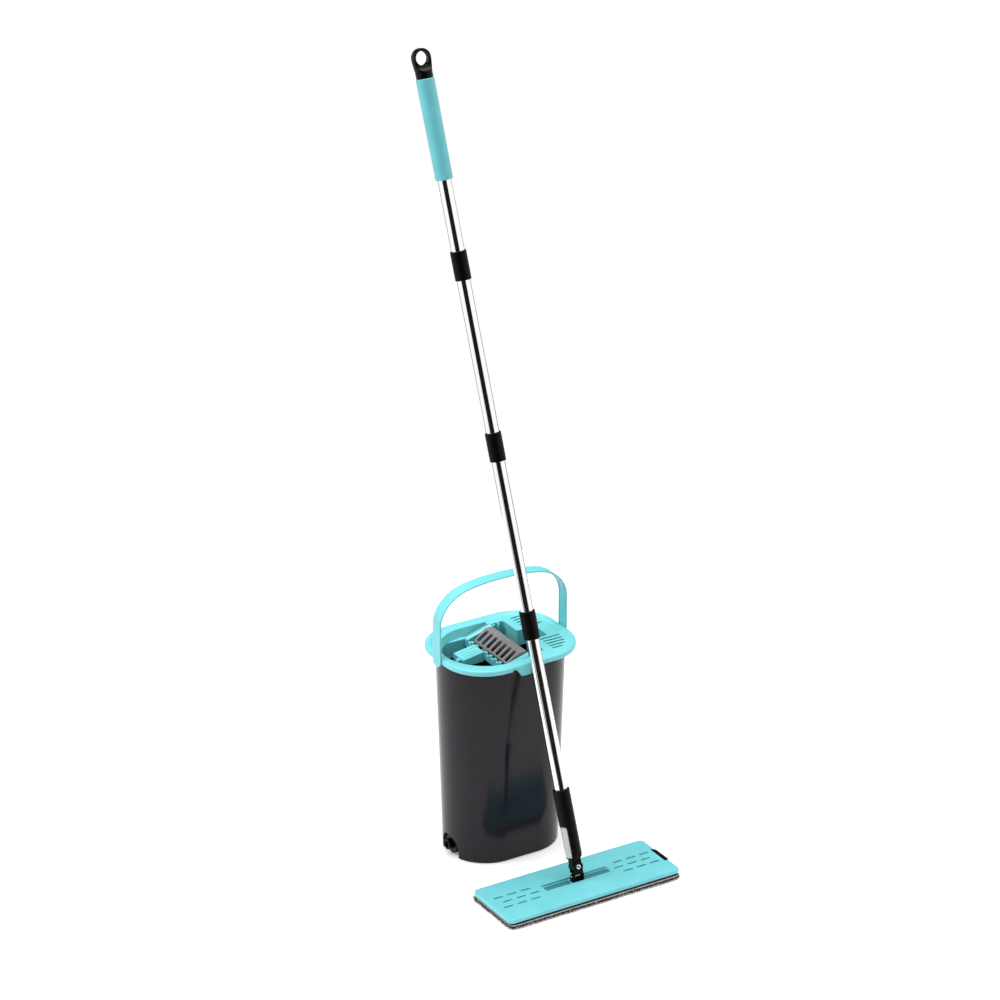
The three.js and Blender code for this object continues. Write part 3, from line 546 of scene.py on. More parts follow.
# The rounded lip at the body's top, as (depth below the top, distance in).
BODY_LIP = [(0.8, 0), (0.25, 0.2), (0, 0.8)]
RECESS = {"x": -84, "half": 25, "height": 38, "arch": 24, "left": -122}
DRAIN_Z = (middle("drain_plug") / MM).z
DRAIN_CENTRE = (0, 0, DRAIN_Z)
DRAIN_BORE = 6
CAP = {"radius": 17.6, "left": -97, "right": -86.4, "flutes": 28, "flute": 1.1, "reach": 18}
KNOB = {"radius": 9.3, "bore": 6.2, "left": -106.5, "depth": 6}
SPIGOT = 5.5
SEAL = {"radius": 8.6, "left": -86.1, "right": -84.3}


def body_ring(z, inset):
    """The body's tapered outline at a height, moved inwards by inset."""
    t = z / TOP["z"]
    sizes = [FOOT[key] + (TOP[key] - FOOT[key]) * t - inset for key in ("half_x", "half_y", "corner")]
    return oval(*sizes, z)


def cove(radius, floor, wall):
    """Rings that bend the body's outline from its floor up into its wall."""
    steps = 6
    rings = []
    for i in range(steps + 1):
        angle = QUARTER * i / steps
        rise, inset = radius * (1 - math.cos(angle)), radius * (1 - math.sin(angle))
        rings.append(body_ring(floor + rise, wall + inset))
    return rings


def recess_arch(grow):
    """A tool in the shape of the drain's arched recess, grown by a wall's thickness."""
    half, spring = RECESS["half"] + grow, RECESS["height"] - RECESS["arch"]
    points = [(-half, -PAST), (half, -PAST)]
    steps = 32
    for i in range(steps + 1):
        angle = math.pi * i / steps
        points.append((half * math.cos(angle), spring + (RECESS["arch"] + grow) * math.sin(angle)))
    return prism(points, RECESS["left"], RECESS["x"] + grow, "x")


def bucket_body():
    """The hollow body with its lip, the drain's recess and the drain's bore."""
    top = TOP["z"]
    levels = 6
    heights = [top * i / levels for i in range(1, levels)]
    outer = cove(FOOT["round"], 0, 0) + [body_ring(z, 0) for z in heights]
    outer += [body_ring(top - drop, inset) for drop, inset in BODY_LIP]
    inner = cove(BODY_BEND, BODY_FLOOR, BODY_WALL) + [body_ring(z, BODY_WALL) for z in heights]
    inner.append(body_ring(top + PAST, BODY_WALL))
    hollow = cut(loft(inner), recess_arch(BODY_WALL))
    bore = rod(DRAIN_BORE, RECESS["x"] - PAST, RECESS["x"] + BODY_WALL + PAST, "x", DRAIN_CENTRE)
    body = cut(loft(outer), recess_arch(0), hollow, bore)
    soften(body, 0.8, 3, 42)
    settle(body, "tank_shell", BUCKET, "bucket", BODY_PLASTIC, ["bucket_body"])


def drain_plug():
    """A flat fluted cap with a hollow knob outside it and a spigot through the wall."""
    plug = rod(CAP["radius"], CAP["left"], CAP["right"], "x", DRAIN_CENTRE, 96, 1.5)
    for i in range(CAP["flutes"]):
        angle = 2 * math.pi * i / CAP["flutes"]
        place = (0, CAP["reach"] * math.cos(angle), DRAIN_Z + CAP["reach"] * math.sin(angle))
        cut(plug, rod(CAP["flute"], CAP["left"] - PAST, CAP["right"] + PAST, "x", place, 12))
    left = KNOB["left"]
    knob = rod(KNOB["radius"], left, CAP["left"] + PAST, "x", DRAIN_CENTRE, 64, 1.0)
    cut(knob, rod(KNOB["bore"], left - PAST, left + KNOB["depth"], "x", DRAIN_CENTRE, 48))
    inside = (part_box("drain_plug")[1] / MM).x
    join(plug, knob, rod(SPIGOT, CAP["right"] - PAST, inside, "x", DRAIN_CENTRE, 48, 0.6))
    soften(plug, 0.45, 2)
    settle(plug, "drain_cap", BUCKET, "drain", BLACK, ["drain_plug"])
    seal = sleeve(SEAL["radius"], DRAIN_BORE, SEAL["left"], SEAL["right"], 0.8, "x", DRAIN_CENTRE)
    settle(seal, "drain_seal", BUCKET, "bucket", RUBBER, ["drain_gasket"])


# ---- Lid -----------------------------------------------------------------------------------------

LID_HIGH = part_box("lid")[1] / MM
LID = {"half_x": 120.5, "half_y": LID_HIGH.y, "corner": 74, "top": LID_HIGH.z, "deck": 373, "under": 371}
SKIRT_BOTTOM = 366
# How far in from the outline the deck's level middle begins.
DECK_INSET = 40
WELL = {"x": -30, "radius": 77, "foot": 72, "ledge": 359, "thick": 3, "edge": 0.3, "wall": 2}
THROAT = {"length": 65, "half": 64, "corner": 38, "bottom": 330}
SLOT = {"left": 19, "right": 45, "half": 65, "bottom": 345}
NOTCH = {"right": 80, "half": 20}
OPENING_CORNER = 4
RAMP = {"inner": 57, "wall": 2, "thick": 3.5, "bottom": 342}
BAR = {"left": -30, "right": -26, "top": 360.5, "bottom": 346, "notch": 4.5, "corner": 2}
# The upper edge of the slats' tips.
TIP = {"x": -19.7, "z": 358}
SLAT = {"count": 8, "pitch": 14.6, "width": 6.2, "gap": 1, "thick": 3.2}
STEM = {"y": 18, "half": 4, "left": -42, "bottom": 350.5, "top": 354.5, "side_gap": 1.5, "under_gap": 0.6}
# The deck's slots have a common left end. Each has its distance from the middle and its right end.
DECK_SLOT = {"left": 60, "half": 1.85, "corner": 1.8}
DECK_SLOTS = [(28, 99), (38, 97), (47.5, 96), (57, 91), (66, 82)]
GUIDE_RIB = {"lefts": (23, 32), "thick": 2.2, "reach": 7, "bottom": 350, "top": 372.6}
SHELF = {"left": 4, "inner": 52, "bottom": 363.7, "top": 366.7}
CLIP = {"left": -26, "right": -2, "slant": 7, "bottom": 356, "reach": 2.5, "root": 2, "shoulder": 365.5}
CLIP_NOTCH = {"gap": 1, "width": 8, "depth": 5, "height": 3}
STUD = {"radius": 3.6, "z": 370.2, "root": 2, "reach": 3.7}
STUD_CENTRE = (0, 0, STUD["z"])
# The rim's section, from the deck over the raised band and down the skirt, as (distance in, height).
RIM_SECTION = [
    (13.2, 373), (12.2, 373.1), (11.4, 373.5), (10.7, 374.2), (9.9, 374.75),
    (8.9, 375), (4.6, 375), (3.3, 374.85), (2.1, 374.4), (1.1, 373.7),
    (0.4, 372.7), (0.08, 371.6), (0, 370.4), (0, 366.9), (0.25, 366.3),
    (0.8, 366), (2.2, 366), (2.8, 366.3), (3, 366.9), (3, 371),
]


def lid_ring(inset, z):
    """The lid's outline at a height, moved inwards by inset."""
    return oval(LID["half_x"] - inset, LID["half_y"] - inset, LID["corner"] - inset, z)


def mirrored(half):
    """A whole outline from its front half, given as (x, y, radius)."""
    return half + [(x, -y, radius) for x, y, radius in reversed(half)]


def opening(grow):
    """The lid's one opening, from the round well on the left to the notch for the pole on the right."""
    left, end = WELL["x"] - WELL["radius"] - grow, NOTCH["right"] + grow
    slot_left, slot_right = SLOT["left"] + grow, SLOT["right"] + grow
    well, slot, notch = WELL["radius"] + grow, SLOT["half"] + grow, NOTCH["half"] + grow
    out, inward = OPENING_CORNER + grow, OPENING_CORNER - grow
    half = [
        (left, -well, well),
        (slot_left, -well, out),
        (slot_left, -slot, inward),
        (slot_right, -slot, out),
        (slot_right, -notch, inward),
        (end, -notch, out),
    ]
    return rounded(mirrored(half), 8)


def half_disc(radius, z):
    """The left half of a level circle about the well's middle."""
    steps = 64
    ring = []
    for i in range(steps + 1):
        angle = QUARTER + math.pi * i / steps
        ring.append((WELL["x"] + radius * math.cos(angle), radius * math.sin(angle), z))
    return ring


def throat_room(grow, low, high):
    """The room inside the throat on the crossbar's left, grown outwards."""
    half, corner = THROAT["half"] + grow, THROAT["corner"] + grow
    left, right = WELL["x"] - THROAT["length"] - grow, WELL["x"]
    corners = [(right, half, 0), (left, half, corner), (left, -half, corner), (right, -half, 0)]
    return prism(rounded(corners, 12), low, high)


def well_wall():
    """The well's wall, which slopes inwards down to a ledge, and the throat's wall below the ledge."""
    ledge, deck, radius, foot = WELL["ledge"], LID["deck"], WELL["radius"], WELL["foot"]
    under, top, edge = ledge - WELL["thick"], deck - TOUCH, deck - WELL["edge"]
    outside, deep = radius + PAST, 10
    wall = loft([half_disc(outside, under), half_disc(outside, top)])
    slope = [half_disc(foot, ledge), half_disc(radius, edge), half_disc(radius, deck + PAST)]
    cut(wall, loft(slope), throat_room(0, ledge - deep, ledge + PAST))
    bottom = THROAT["bottom"]
    throat = cut(throat_room(WELL["wall"], bottom, ledge), throat_room(0, bottom - PAST, ledge + PAST))
    face = [(outside, under), (outside, top), (radius, edge), (foot, ledge), (foot, under)]
    for side in (-1, 1):
        flank = [(side * y, z) for y, z in face[::-side]]
        join(wall, prism(flank, WELL["x"] - OVERLAP, SLOT["left"] + PAST, "x"))
    return join(wall, throat)


def between(side, near, far):
    """A range on the right or rear side, or its mirror image on the other side."""
    return (near, far) if side > 0 else (-far, -near)


def ramp(side):
    """The sloping ledge beside the comb, with the wall that closes it below."""
    left, right = WELL["x"] - PAST, SLOT["left"] + PAST
    ledge, deck, thick, bottom = WELL["ledge"], LID["deck"], RAMP["thick"], RAMP["bottom"]
    far = right + PAST
    slope = [(left, ledge - thick), (right, deck - thick), (right, deck), (left, ledge)]
    web = [(left, bottom), (far, bottom), (far, deck), (right, deck), (left, ledge)]
    inner = RAMP["inner"]
    sloping = prism(slope, *between(side, inner, WELL["radius"] + PAST), "y")
    return join(sloping, prism(web, *between(side, inner, inner + RAMP["wall"]), "y"))


def crossbar():
    """The bar under the comb's tips: a notch for each slat and a deeper one for the spring's stem."""
    half = WELL["radius"] + PAST
    left, right, top = BAR["left"], BAR["right"], BAR["top"]
    bar = block(left, right, -half, half, BAR["bottom"], top)
    notch, corner = SLAT["width"] / 2 + SLAT["gap"], BAR["corner"]
    low, high = top - BAR["notch"], top + PAST
    for i in range(SLAT["count"]):
        y = (i - (SLAT["count"] - 1) / 2) * SLAT["pitch"]
        near, far = y - notch, y + notch
        outline = rounded([(near, low, corner), (far, low, corner), (far, high, 0), (near, high, 0)])
        cut(bar, prism(outline, left - PAST, right + PAST, "x"))
    gap = STEM["half"] + STEM["side_gap"]
    low = STEM["bottom"] - STEM["under_gap"]
    cut(bar, block(left - PAST, right + PAST, STEM["y"] - gap, STEM["y"] + gap, low, top))
    return bar


def front_clip():
    """The catch below the rim's front, which stands out from the skirt."""
    wall = -LID["half_y"]
    front, back, top = wall - CLIP["reach"], wall + CLIP["root"], LID["under"]
    left, right, bottom = CLIP["left"], CLIP["right"], CLIP["bottom"]
    face = [(left, SKIRT_BOTTOM), (left + CLIP["slant"], bottom), (right, bottom), (right, top), (left, top)]
    side = [(front, bottom), (back, bottom), (back, top), (wall, top), (front, CLIP["shoulder"])]
    return common(prism(face, front, back, "y"), prism(side, left - PAST, right + PAST, "x"))


def lid_side(whole, side):
    """One side's guide ribs, shelf for the comb, deck slots and stud for the bail."""
    ends = between(side, SLOT["half"] - GUIDE_RIB["reach"], SLOT["half"] + PAST)
    for x in GUIDE_RIB["lefts"]:
        join(whole, block(x, x + GUIDE_RIB["thick"], *ends, GUIDE_RIB["bottom"], GUIDE_RIB["top"]))
    ends = between(side, SHELF["inner"], RAMP["inner"] + PAST)
    join(whole, block(SHELF["left"], SLOT["left"], *ends, SHELF["bottom"], SHELF["top"]))
    left, half, corner = DECK_SLOT["left"], DECK_SLOT["half"], DECK_SLOT["corner"]
    for y, right in DECK_SLOTS:
        outline = round_rectangle((right - left) / 2, half, corner, 4, ((right + left) / 2, side * y))
        cut(whole, prism(outline, LID["under"] - PAST, LID["top"]))
    ends = between(side, LID["half_x"] - STUD["root"], LID["half_x"] + STUD["reach"])
    join(whole, rod(STUD["radius"], *ends, "x", STUD_CENTRE, 40, 0.6))


def lid():
    """The lid: rim and deck, the well, the slot, the crossbar and the front catch."""
    section = [(DECK_INSET, LID["deck"])] + RIM_SECTION + [(DECK_INSET, LID["under"])]
    whole = loft([lid_ring(*point) for point in reversed(section)])
    join(whole, prism(opening(WELL["wall"]), SLOT["bottom"], LID["under"] + PAST))
    cut(whole, prism(opening(0), SLOT["bottom"] - PAST, LID["top"] + PAST))
    join(whole, well_wall(), ramp(1), ramp(-1), crossbar(), front_clip())
    lid_side(whole, -1)
    lid_side(whole, 1)
    right = CLIP["left"] - CLIP_NOTCH["gap"]
    left, top = right - CLIP_NOTCH["width"], SKIRT_BOTTOM + CLIP_NOTCH["height"]
    front = -LID["half_y"]
    cut(whole, block(left, right, front - PAST, front + CLIP_NOTCH["depth"], SKIRT_BOTTOM - PAST, top))
    soften(whole, 0.55, 2, 40)
    settle(whole, "wringer_lid", BUCKET, "bucket", TURQUOISE, ["lid"])


# ---- Wringer comb and its spring -----------------------------------------------------------------

COMB = {"left": 4, "right": 18, "top": 374, "thick": 7, "half": 55, "tip_half": 52, "edge": 1}
# Heights between which a tool cuts the comb right through.
COMB_CUT = (340, 380)
RAIL_RIGHT = -17.5
BEND = (-6.5, 368.5)
PUSHER = {"left": -44, "right": -41, "half": 5, "bottom": 345.5}


def curve(start, pull, end, steps=12):
    """Points along a line that bends towards one point."""
    points = []
    for i in range(steps + 1):
        t = i / steps
        weights = ((1 - t) ** 2, 2 * t * (1 - t), t * t)
        points.append(tuple(sum(w * p[k] for w, p in zip(weights, (start, pull, end))) for k in range(2)))
    return points


def comb_section():
    """The bar and a slat from the side, anticlockwise from the underside of the slat's tip."""
    left, right, top, low = COMB["left"], COMB["right"], COMB["top"], COMB["top"] - COMB["thick"]
    tip_x, tip_z, thick, edge = TIP["x"], TIP["z"], SLAT["thick"], COMB["edge"]
    under = curve((tip_x, tip_z - thick), (BEND[0] + 1, BEND[1] - thick - 1), (left, low))
    over = curve((left, top - 0.5), BEND, (tip_x, tip_z))
    return under + [(right, low), (right, top - edge), (right - edge, top)] + over


def comb():
    """The bar and the eight slats that slope from it down to the crossbar."""
    left, right, half, tip_x = COMB["left"], COMB["right"], COMB["half"], TIP["x"]
    body = prism(comb_section(), -half, half, "y")
    front = [(tip_x - PAST, -COMB["tip_half"], 0), (left, -half, 0), (right + PAST, -half, 0)]
    common(body, prism(rounded(mirrored(front)), *COMB_CUT))
    slot_right = left - COMB["edge"]
    slot_half, slot_x = (slot_right - RAIL_RIGHT) / 2, (slot_right + RAIL_RIGHT) / 2
    open_half = (SLAT["pitch"] - SLAT["width"]) / 2
    for i in range(1, SLAT["count"]):
        y = (i - SLAT["count"] / 2) * SLAT["pitch"]
        cut(body, prism(round_rectangle(slot_half, open_half, 1, 4, (slot_x, y)), *COMB_CUT))
    near, far = STEM["y"] - STEM["half"], STEM["y"] + STEM["half"]
    join(body, block(STEM["left"], RAIL_RIGHT, near, far, STEM["bottom"], STEM["top"]))
    join(body, block(tip_x, RAIL_RIGHT, near, far, STEM["bottom"], TIP["z"] - OVERLAP))
    near, far = STEM["y"] - PUSHER["half"], STEM["y"] + PUSHER["half"]
    join(body, block(PUSHER["left"], PUSHER["right"], near, far, PUSHER["bottom"], STEM["top"]))
    soften(body, 0.5, 2, 40)
    settle(body, "wringer_slats", BUCKET, "comb", COMB_GREY, ["wringer_comb"])


HOUSING = {"left": -70, "right": -30.3, "front": 3, "back": 36, "bottom": 342, "wall": 2}
# The cover's top slopes up from the left wall to the right edge.
HOUSING_TOP = {"left": 354, "right": 360}
HOUSING_RIB = [(-66, 353), (-34.3, 359), (-34.3, 360.4), (-66, 355.4)]
LOOP = {"x": -74, "z": 350, "radius": 4.5, "bore": 2.4, "front": 7, "back": 15, "root": 2}
SPRING = {"wire": 0.45, "radius": 3, "turns": 6, "z": 348, "slack": 0.3}


def housing_outline(inset, reach=0.0):
    """The cover from the side, moved inwards by inset, with its open right end moved out by reach."""
    left, right, bottom = HOUSING["left"] + inset, HOUSING["right"] + reach, HOUSING["bottom"] + inset
    top, low_top = HOUSING_TOP["right"] - inset, HOUSING_TOP["left"] - inset
    return [(left, bottom), (right, bottom), (right, top), (left, low_top)]


def spring_housing():
    """The cover over the return spring, with three ribs on its slope and a loop on its left."""
    front, back, wall = HOUSING["front"], HOUSING["back"], HOUSING["wall"]
    body = prism(housing_outline(0), front, back, "y")
    cut(body, prism(housing_outline(wall, PAST), front + wall, back - wall, "y"))
    for i in range(1, 4):
        y = front + i * (back - front) / 4
        join(body, prism(HOUSING_RIB, y - 1, y + 1, "y"))
    near, far, centre = LOOP["front"], LOOP["back"], (LOOP["x"], 0, LOOP["z"])
    join(body, rod(LOOP["radius"], near, far, "y", centre, 32))
    low, high = LOOP["z"] - LOOP["root"], LOOP["z"] + LOOP["root"]
    join(body, block(LOOP["x"], HOUSING["left"] + PAST, near, far, low, high))
    cut(body, rod(LOOP["bore"], near - PAST, far + PAST, "y", centre, 32))
    soften(body, 0.6, 2, 36)
    settle(body, "spring_cover", BUCKET, "bucket", TURQUOISE, ["spring_housing"])


def comb_spring():
    """A coil of round wire, pressed between the cover's left wall and the comb's pusher."""
    low, high = (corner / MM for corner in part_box("comb_spring"))
    wire, radius, steps, sides = SPRING["wire"], SPRING["radius"], 24, 10
    count = SPRING["turns"] * steps
    rings = []
    for i in range(count + 1):
        angle = 2 * math.pi * i / steps
        along = low.x + wire + (high.x - low.x - 2 * wire) * i / count
        centre = Vector((along, STEM["y"], SPRING["z"]))
        out = Vector((0, math.cos(angle), math.sin(angle)))
        ring = []
        for k in range(sides):
            turn = 2 * math.pi * k / sides
            offset = out * (wire * math.cos(turn)) + Vector((wire * math.sin(turn), 0, 0))
            ring.append(centre + out * radius + offset)
        rings.append(ring)
    spring = loft(rings)
    settle(spring, "return_spring", BUCKET, "bucket", STEEL, ["comb_spring"])
    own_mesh(spring)


# ---- Bail ----------------------------------------------------------------------------------------

BAIL_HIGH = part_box("bail")[1] / MM
BAIL = {"half": BAIL_HIGH.y, "thick": 3, "leg_x": BAIL_HIGH.x, "foot": 12, "bore": 4, "shoulder": 432}
BOSS = {"radius": 7, "gap": 0.3}
# The strap's section as (across, in from the outer face): rounded edges and a sunk band along its inside.
STRAP = [
    (-10.9, 0), (10.9, 0), (11.7, 0.35), (12, 1.1), (12, 2.0), (11.75, 2.7),
    (11.1, 3), (9.6, 3), (9.1, 2.8), (8.9, 2.1), (-8.9, 2.1), (-9.1, 2.8),
    (-9.6, 3), (-11.1, 3), (-11.75, 2.7), (-12, 2.0), (-12, 1.1), (-11.7, 0.35),
]


def bezier(a, b, c, d, steps):
    """Points along a cubic curve from a to d that leaves towards b and arrives from c."""
    points = []
    for i in range(steps + 1):
        t = i / steps
        weights = ((1 - t) ** 3, 3 * t * (1 - t) ** 2, 3 * t * t * (1 - t), t**3)
        points.append(Vector(sum(w * p[k] for w, p in zip(weights, (a, b, c, d))) for k in range(2)))
    return points


def half_turn(radius, centre, start, steps=24):
    """The inner points of a half circle, anticlockwise from an angle."""
    points = []
    for i in range(1, steps):
        angle = start + math.pi * i / steps
        points.append((centre[0] + radius * math.cos(angle), centre[1] + radius * math.sin(angle)))
    return points


def bail_path():
    """The strap's outer line, from the right foot over the top to the left foot."""
    x, top, shoulder = BAIL["leg_x"], BAIL_HIGH.z, BAIL["shoulder"]
    bottom = STUD["z"] - BAIL["foot"] - 1
    levels = 8
    leg = [Vector((x, bottom + (shoulder - bottom) * i / levels)) for i in range(levels)]
    crown = (x - 56, top - 5.5)
    bend = bezier((x, shoulder), (x, shoulder + 27), (x - 22, top - 12), crown, 20)
    over = bezier(crown, (x - 75, top - 2), (34, top), (0, top), 14)[1:]
    half = leg + bend + over
    return half + [Vector((-p.x, p.y)) for p in reversed(half[:-1])]


def strap_rings(path):
    """The strap's section at each point of its outer line."""
    rings = []
    for i, point in enumerate(path):
        along = (path[min(i + 1, len(path) - 1)] - path[max(i - 1, 0)]).normalized()
        inward = Vector((-along.y, along.x))
        ring = []
        for across, depth in STRAP:
            place = point + inward * depth
            ring.append((place.x, across, place.y))
        rings.append(ring)
    return rings


def bail():
    """The carrying strap, with round feet and a boss on each stud of the lid."""
    strap = loft(strap_rings(bail_path()))
    strap.data.flip_normals()
    half, high, stud_z = BAIL["half"], BAIL_HIGH.z + PAST, STUD["z"]
    flare = half + PAST
    side = [(flare, high), (-flare, high), (-flare, stud_z + 6), (-half, stud_z)]
    side += half_turn(BAIL["foot"], (0, stud_z), math.pi)
    side += [(half, stud_z), (flare, stud_z + 6)]
    reach = BAIL["leg_x"] + PAST
    common(strap, prism(side, -reach, reach, "x"))
    for edge in (-1, 1):
        ends = between(edge, BAIL["leg_x"] - BAIL["thick"], BAIL["leg_x"] - BOSS["gap"])
        join(strap, rod(BOSS["radius"], *ends, "x", STUD_CENTRE, 48))
    cut(strap, rod(BAIL["bore"], -reach, reach, "x", STUD_CENTRE, 48))
    soften(strap, 0.35, 2, 42)
    settle(strap, "carry_bail", BUCKET, "bail", TURQUOISE, ["bail"])


# ---- Mop head ------------------------------------------------------------------------------------

PLATE = {"half_x": 167, "half_y": 60, "corner": 9, "bottom": 10, "top": 17}
# The plate's upper edge, as (distance in, height above its underside).
PLATE_EDGE = [(0.6, 0), (0, 0.6), (0, 5.6), (0.25, 6.3), (0.9, 6.85), (1.8, 7)]
# Recesses of the plate's top: the shallow land, a groove along its rear and a pocket on each side.
LAND = {"left": -64, "right": 65, "front": -6, "back": 13, "depth": 1.2, "corner": 5}
GROOVE = {"inset": 2, "width": 2.6, "depth": 4.6, "corner": 1.2}
POCKET = {"left": -62, "right": 63, "inner": 11.8, "front": -6, "back": 8.4, "depth": 5.6, "corner": 3.5}
SEAT = {"half_x": 11.4, "half_y": 6.2, "depth": 2.5, "corner": 1}
PLATE_SLOT = {"half_x": 9.25, "half_y": 1.7, "corner": 1.6}
# The bracket's two screws: their distance from the middle, bore, and the heads' room in the underside.
BRACKET_SCREW = {"x": 6, "bore": 1.8, "head": 3.4, "low": 5, "head_top": 12.1}
TAB = {"half": 22, "left": 160.4, "right": 169.5, "bottom": 9.2, "top": 16.6}
TAB_RIB = {"count": 7, "pitch": 5.4, "radius": 1.1}
BRACKET = {"half_x": 11, "half_y": 5.8, "corner": 1.2, "root": 2.2, "top": 17.7, "ear": 8, "ear_radius": 4.4}
PIN_Z = TILT_PIN.z / MM
PIN_BORE = 1.8
PIN_CENTRE = (0, 0, PIN_Z)


def sunk(x0, x1, y0, y1, depth, corner):
    """A tool that sinks a round rectangle into the plate's top."""
    outline = round_rectangle((x1 - x0) / 2, (y1 - y0) / 2, corner, 8, ((x0 + x1) / 2, (y0 + y1) / 2))
    return prism(outline, PLATE["top"] - depth, PLATE["top"] + PAST)


def pocket_ranges():
    """The left and right ends of the two pockets."""
    return (POCKET["left"], -POCKET["inner"]), (POCKET["inner"], POCKET["right"])


def slot_places():
    """The centres of the plate's slots: three rows of three at each end."""
    places = []
    for row, shift in ((-16.5, 0), (0, 8), (16.5, 0)):
        for column in range(3):
            for side in (-1, 1):
                places.append((side * (90.5 - shift + 26.5 * column), row))
    return places


def painted_shade_fills():
    """The darker floors inside the plate's pockets, groove and slots: painted shade, a dark teal fill where
    these recesses are in shade.
    """
    bottom, top, tight = PLATE["bottom"], PLATE["top"], 0.04
    shade_fills = []
    for x0, x1 in pocket_ranges():
        half_x, half_y = (x1 - x0) / 2 - tight, (POCKET["back"] - POCKET["front"]) / 2 - tight
        centre = ((x0 + x1) / 2, (POCKET["front"] + POCKET["back"]) / 2)
        outline = round_rectangle(half_x, half_y, POCKET["corner"], 8, centre)
        shade_fills.append(prism(outline, top - POCKET["depth"] + tight, top - LAND["depth"] - 1.6))
    half_x = (LAND["right"] - LAND["left"]) / 2 - GROOVE["inset"] - tight
    half_y = GROOVE["width"] / 2
    centre = ((LAND["left"] + LAND["right"]) / 2, LAND["back"] - half_y)
    outline = round_rectangle(half_x, half_y - tight, GROOVE["corner"], 4, centre)
    shade_fills.append(prism(outline, top - GROOVE["depth"] + tight, top - LAND["depth"] - 1.0))
    for place in slot_places():
        half_x, half_y = PLATE_SLOT["half_x"] - tight, PLATE_SLOT["half_y"] - tight
        outline = round_rectangle(half_x, half_y, PLATE_SLOT["corner"], 4, place)
        shade_fills.append(prism(outline, bottom + 0.3, top - 2.0))
    return shade_fills


def sink_recesses(plate):
    """Cuts the land, the groove, the pockets and the bracket's seat into the plate's top."""
    left, right, back = LAND["left"], LAND["right"], LAND["back"]
    cut(plate, sunk(left, right, LAND["front"], back, LAND["depth"], LAND["corner"]))
    left, right, front = left + GROOVE["inset"], right - GROOVE["inset"], back - GROOVE["width"]
    cut(plate, sunk(left, right, front, back, GROOVE["depth"], GROOVE["corner"]))
    for x0, x1 in pocket_ranges():
        cut(plate, sunk(x0, x1, POCKET["front"], POCKET["back"], POCKET["depth"], POCKET["corner"]))
    half_x, half_y = SEAT["half_x"], SEAT["half_y"]
    cut(plate, sunk(-half_x, half_x, -half_y, half_y, SEAT["depth"], SEAT["corner"]))


def mop_plate():
    """The plate: a bevelled upper edge, the hinge's recess and two patches of slots."""
    bottom, top = PLATE["bottom"], PLATE["top"]
    rings = []
    for inset, rise in PLATE_EDGE:
        half_x, half_y = PLATE["half_x"] - inset, PLATE["half_y"] - inset
        outline = round_rectangle(half_x, half_y, PLATE["corner"] - inset, 10)
        rings.append([(x, y, bottom + rise) for x, y in outline])
    plate = loft(rings)
    sink_recesses(plate)
    for place in slot_places():
        outline = round_rectangle(PLATE_SLOT["half_x"], PLATE_SLOT["half_y"], PLATE_SLOT["corner"], 4, place)
        cut(plate, prism(outline, bottom - PAST, top + PAST))
    gap = 0.3
    half = TAB["half"] + gap
    cut(plate, block(TAB["left"] - gap, PLATE["half_x"] + PAST, -half, half, 0, top + PAST))
    for side in (-1, 1):
        place, low = (side * BRACKET_SCREW["x"], 0, 0), BRACKET_SCREW["low"]
        bore = rod(BRACKET_SCREW["bore"], low, top, "z", place, 24)
        cut(plate, bore, rod(BRACKET_SCREW["head"], low, BRACKET_SCREW["head_top"], "z", place, 32))
    soften(plate, 0.4, 2, 38)
    settle(plate, "head_plate", HEAD, "mop_head", PLATE_TURQUOISE, ["mop_plate"])
    # Painted shade: dark teal fills that raise the floors of the pockets, groove and slots.
    shade_fills = join(*painted_shade_fills())
    settle(shade_fills, "plate_recess_painted_shade", HEAD, "mop_head", RECESS_PAINTED_SHADE, ["mop_plate"])


def pad_tab():
    """The black end tab, with seven shallow ribs for the fingers."""
    half, left, right, top = TAB["half"], TAB["left"], TAB["right"], TAB["top"]
    outline = rounded([(right, -half, 5), (right, half, 5), (left, half, 0.8), (left, -half, 0.8)])
    tab = prism(outline, TAB["bottom"], top - 0.7)
    count, radius = TAB_RIB["count"], TAB_RIB["radius"]
    for i in range(count):
        y = (i - (count - 1) / 2) * TAB_RIB["pitch"]
        join(tab, rod(radius, left + 1.2, right - 1.6, "x", (0, y, top - radius), 16, 0.5))
    soften(tab, 0.5, 2)
    settle(tab, "end_tab", HEAD, "mop_head", BLACK, ["pad_tab"])


PAD = {"half_x": 166, "half_y": 62, "corner": 10}
# Sections of the pad's edge from below to above, as (distance in, height).
PILE_EDGE = [(9, 0.5), (4.5, 0.35), (2.2, 0.7), (0.8, 1.8), (0.3, 3.2), (0.4, 4.6), (1.2, 5.9), (3, 6.4)]
BACKING_EDGE = [(1.2, 5.9), (0.4, 6.0), (0.1, 6.5), (0.1, 6.9), (0.6, 7.3)]
BINDING_EDGE = [(1.6, 7.1), (0.9, 7.4), (0.9, 8.4), (1.8, 8.7)]
# The tufts start this far in from the outline, at this spacing, and stay above the floor.
TUFT = {"inset": 1.2, "spacing": 1.35, "lowest": 0.05}


def pad_ring(inset, z, spacing=3.0):
    """Points at an even spacing round the pad's outline, so that its pile can ripple."""
    half_x, half_y, corner = PAD["half_x"] - inset, PAD["half_y"] - inset, PAD["corner"] - inset
    lengths = [2 * (half_x - corner), QUARTER * corner, 2 * (half_y - corner), QUARTER * corner] * 2
    total = sum(lengths)
    count = round(2 * (PAD["half_x"] + PAD["half_y"]) * 2 / spacing)
    ring = []
    for i in range(count):
        ring.append(outline_point(half_x, half_y, corner, total * i / count))
    return [(x, y, z) for x, y in ring]


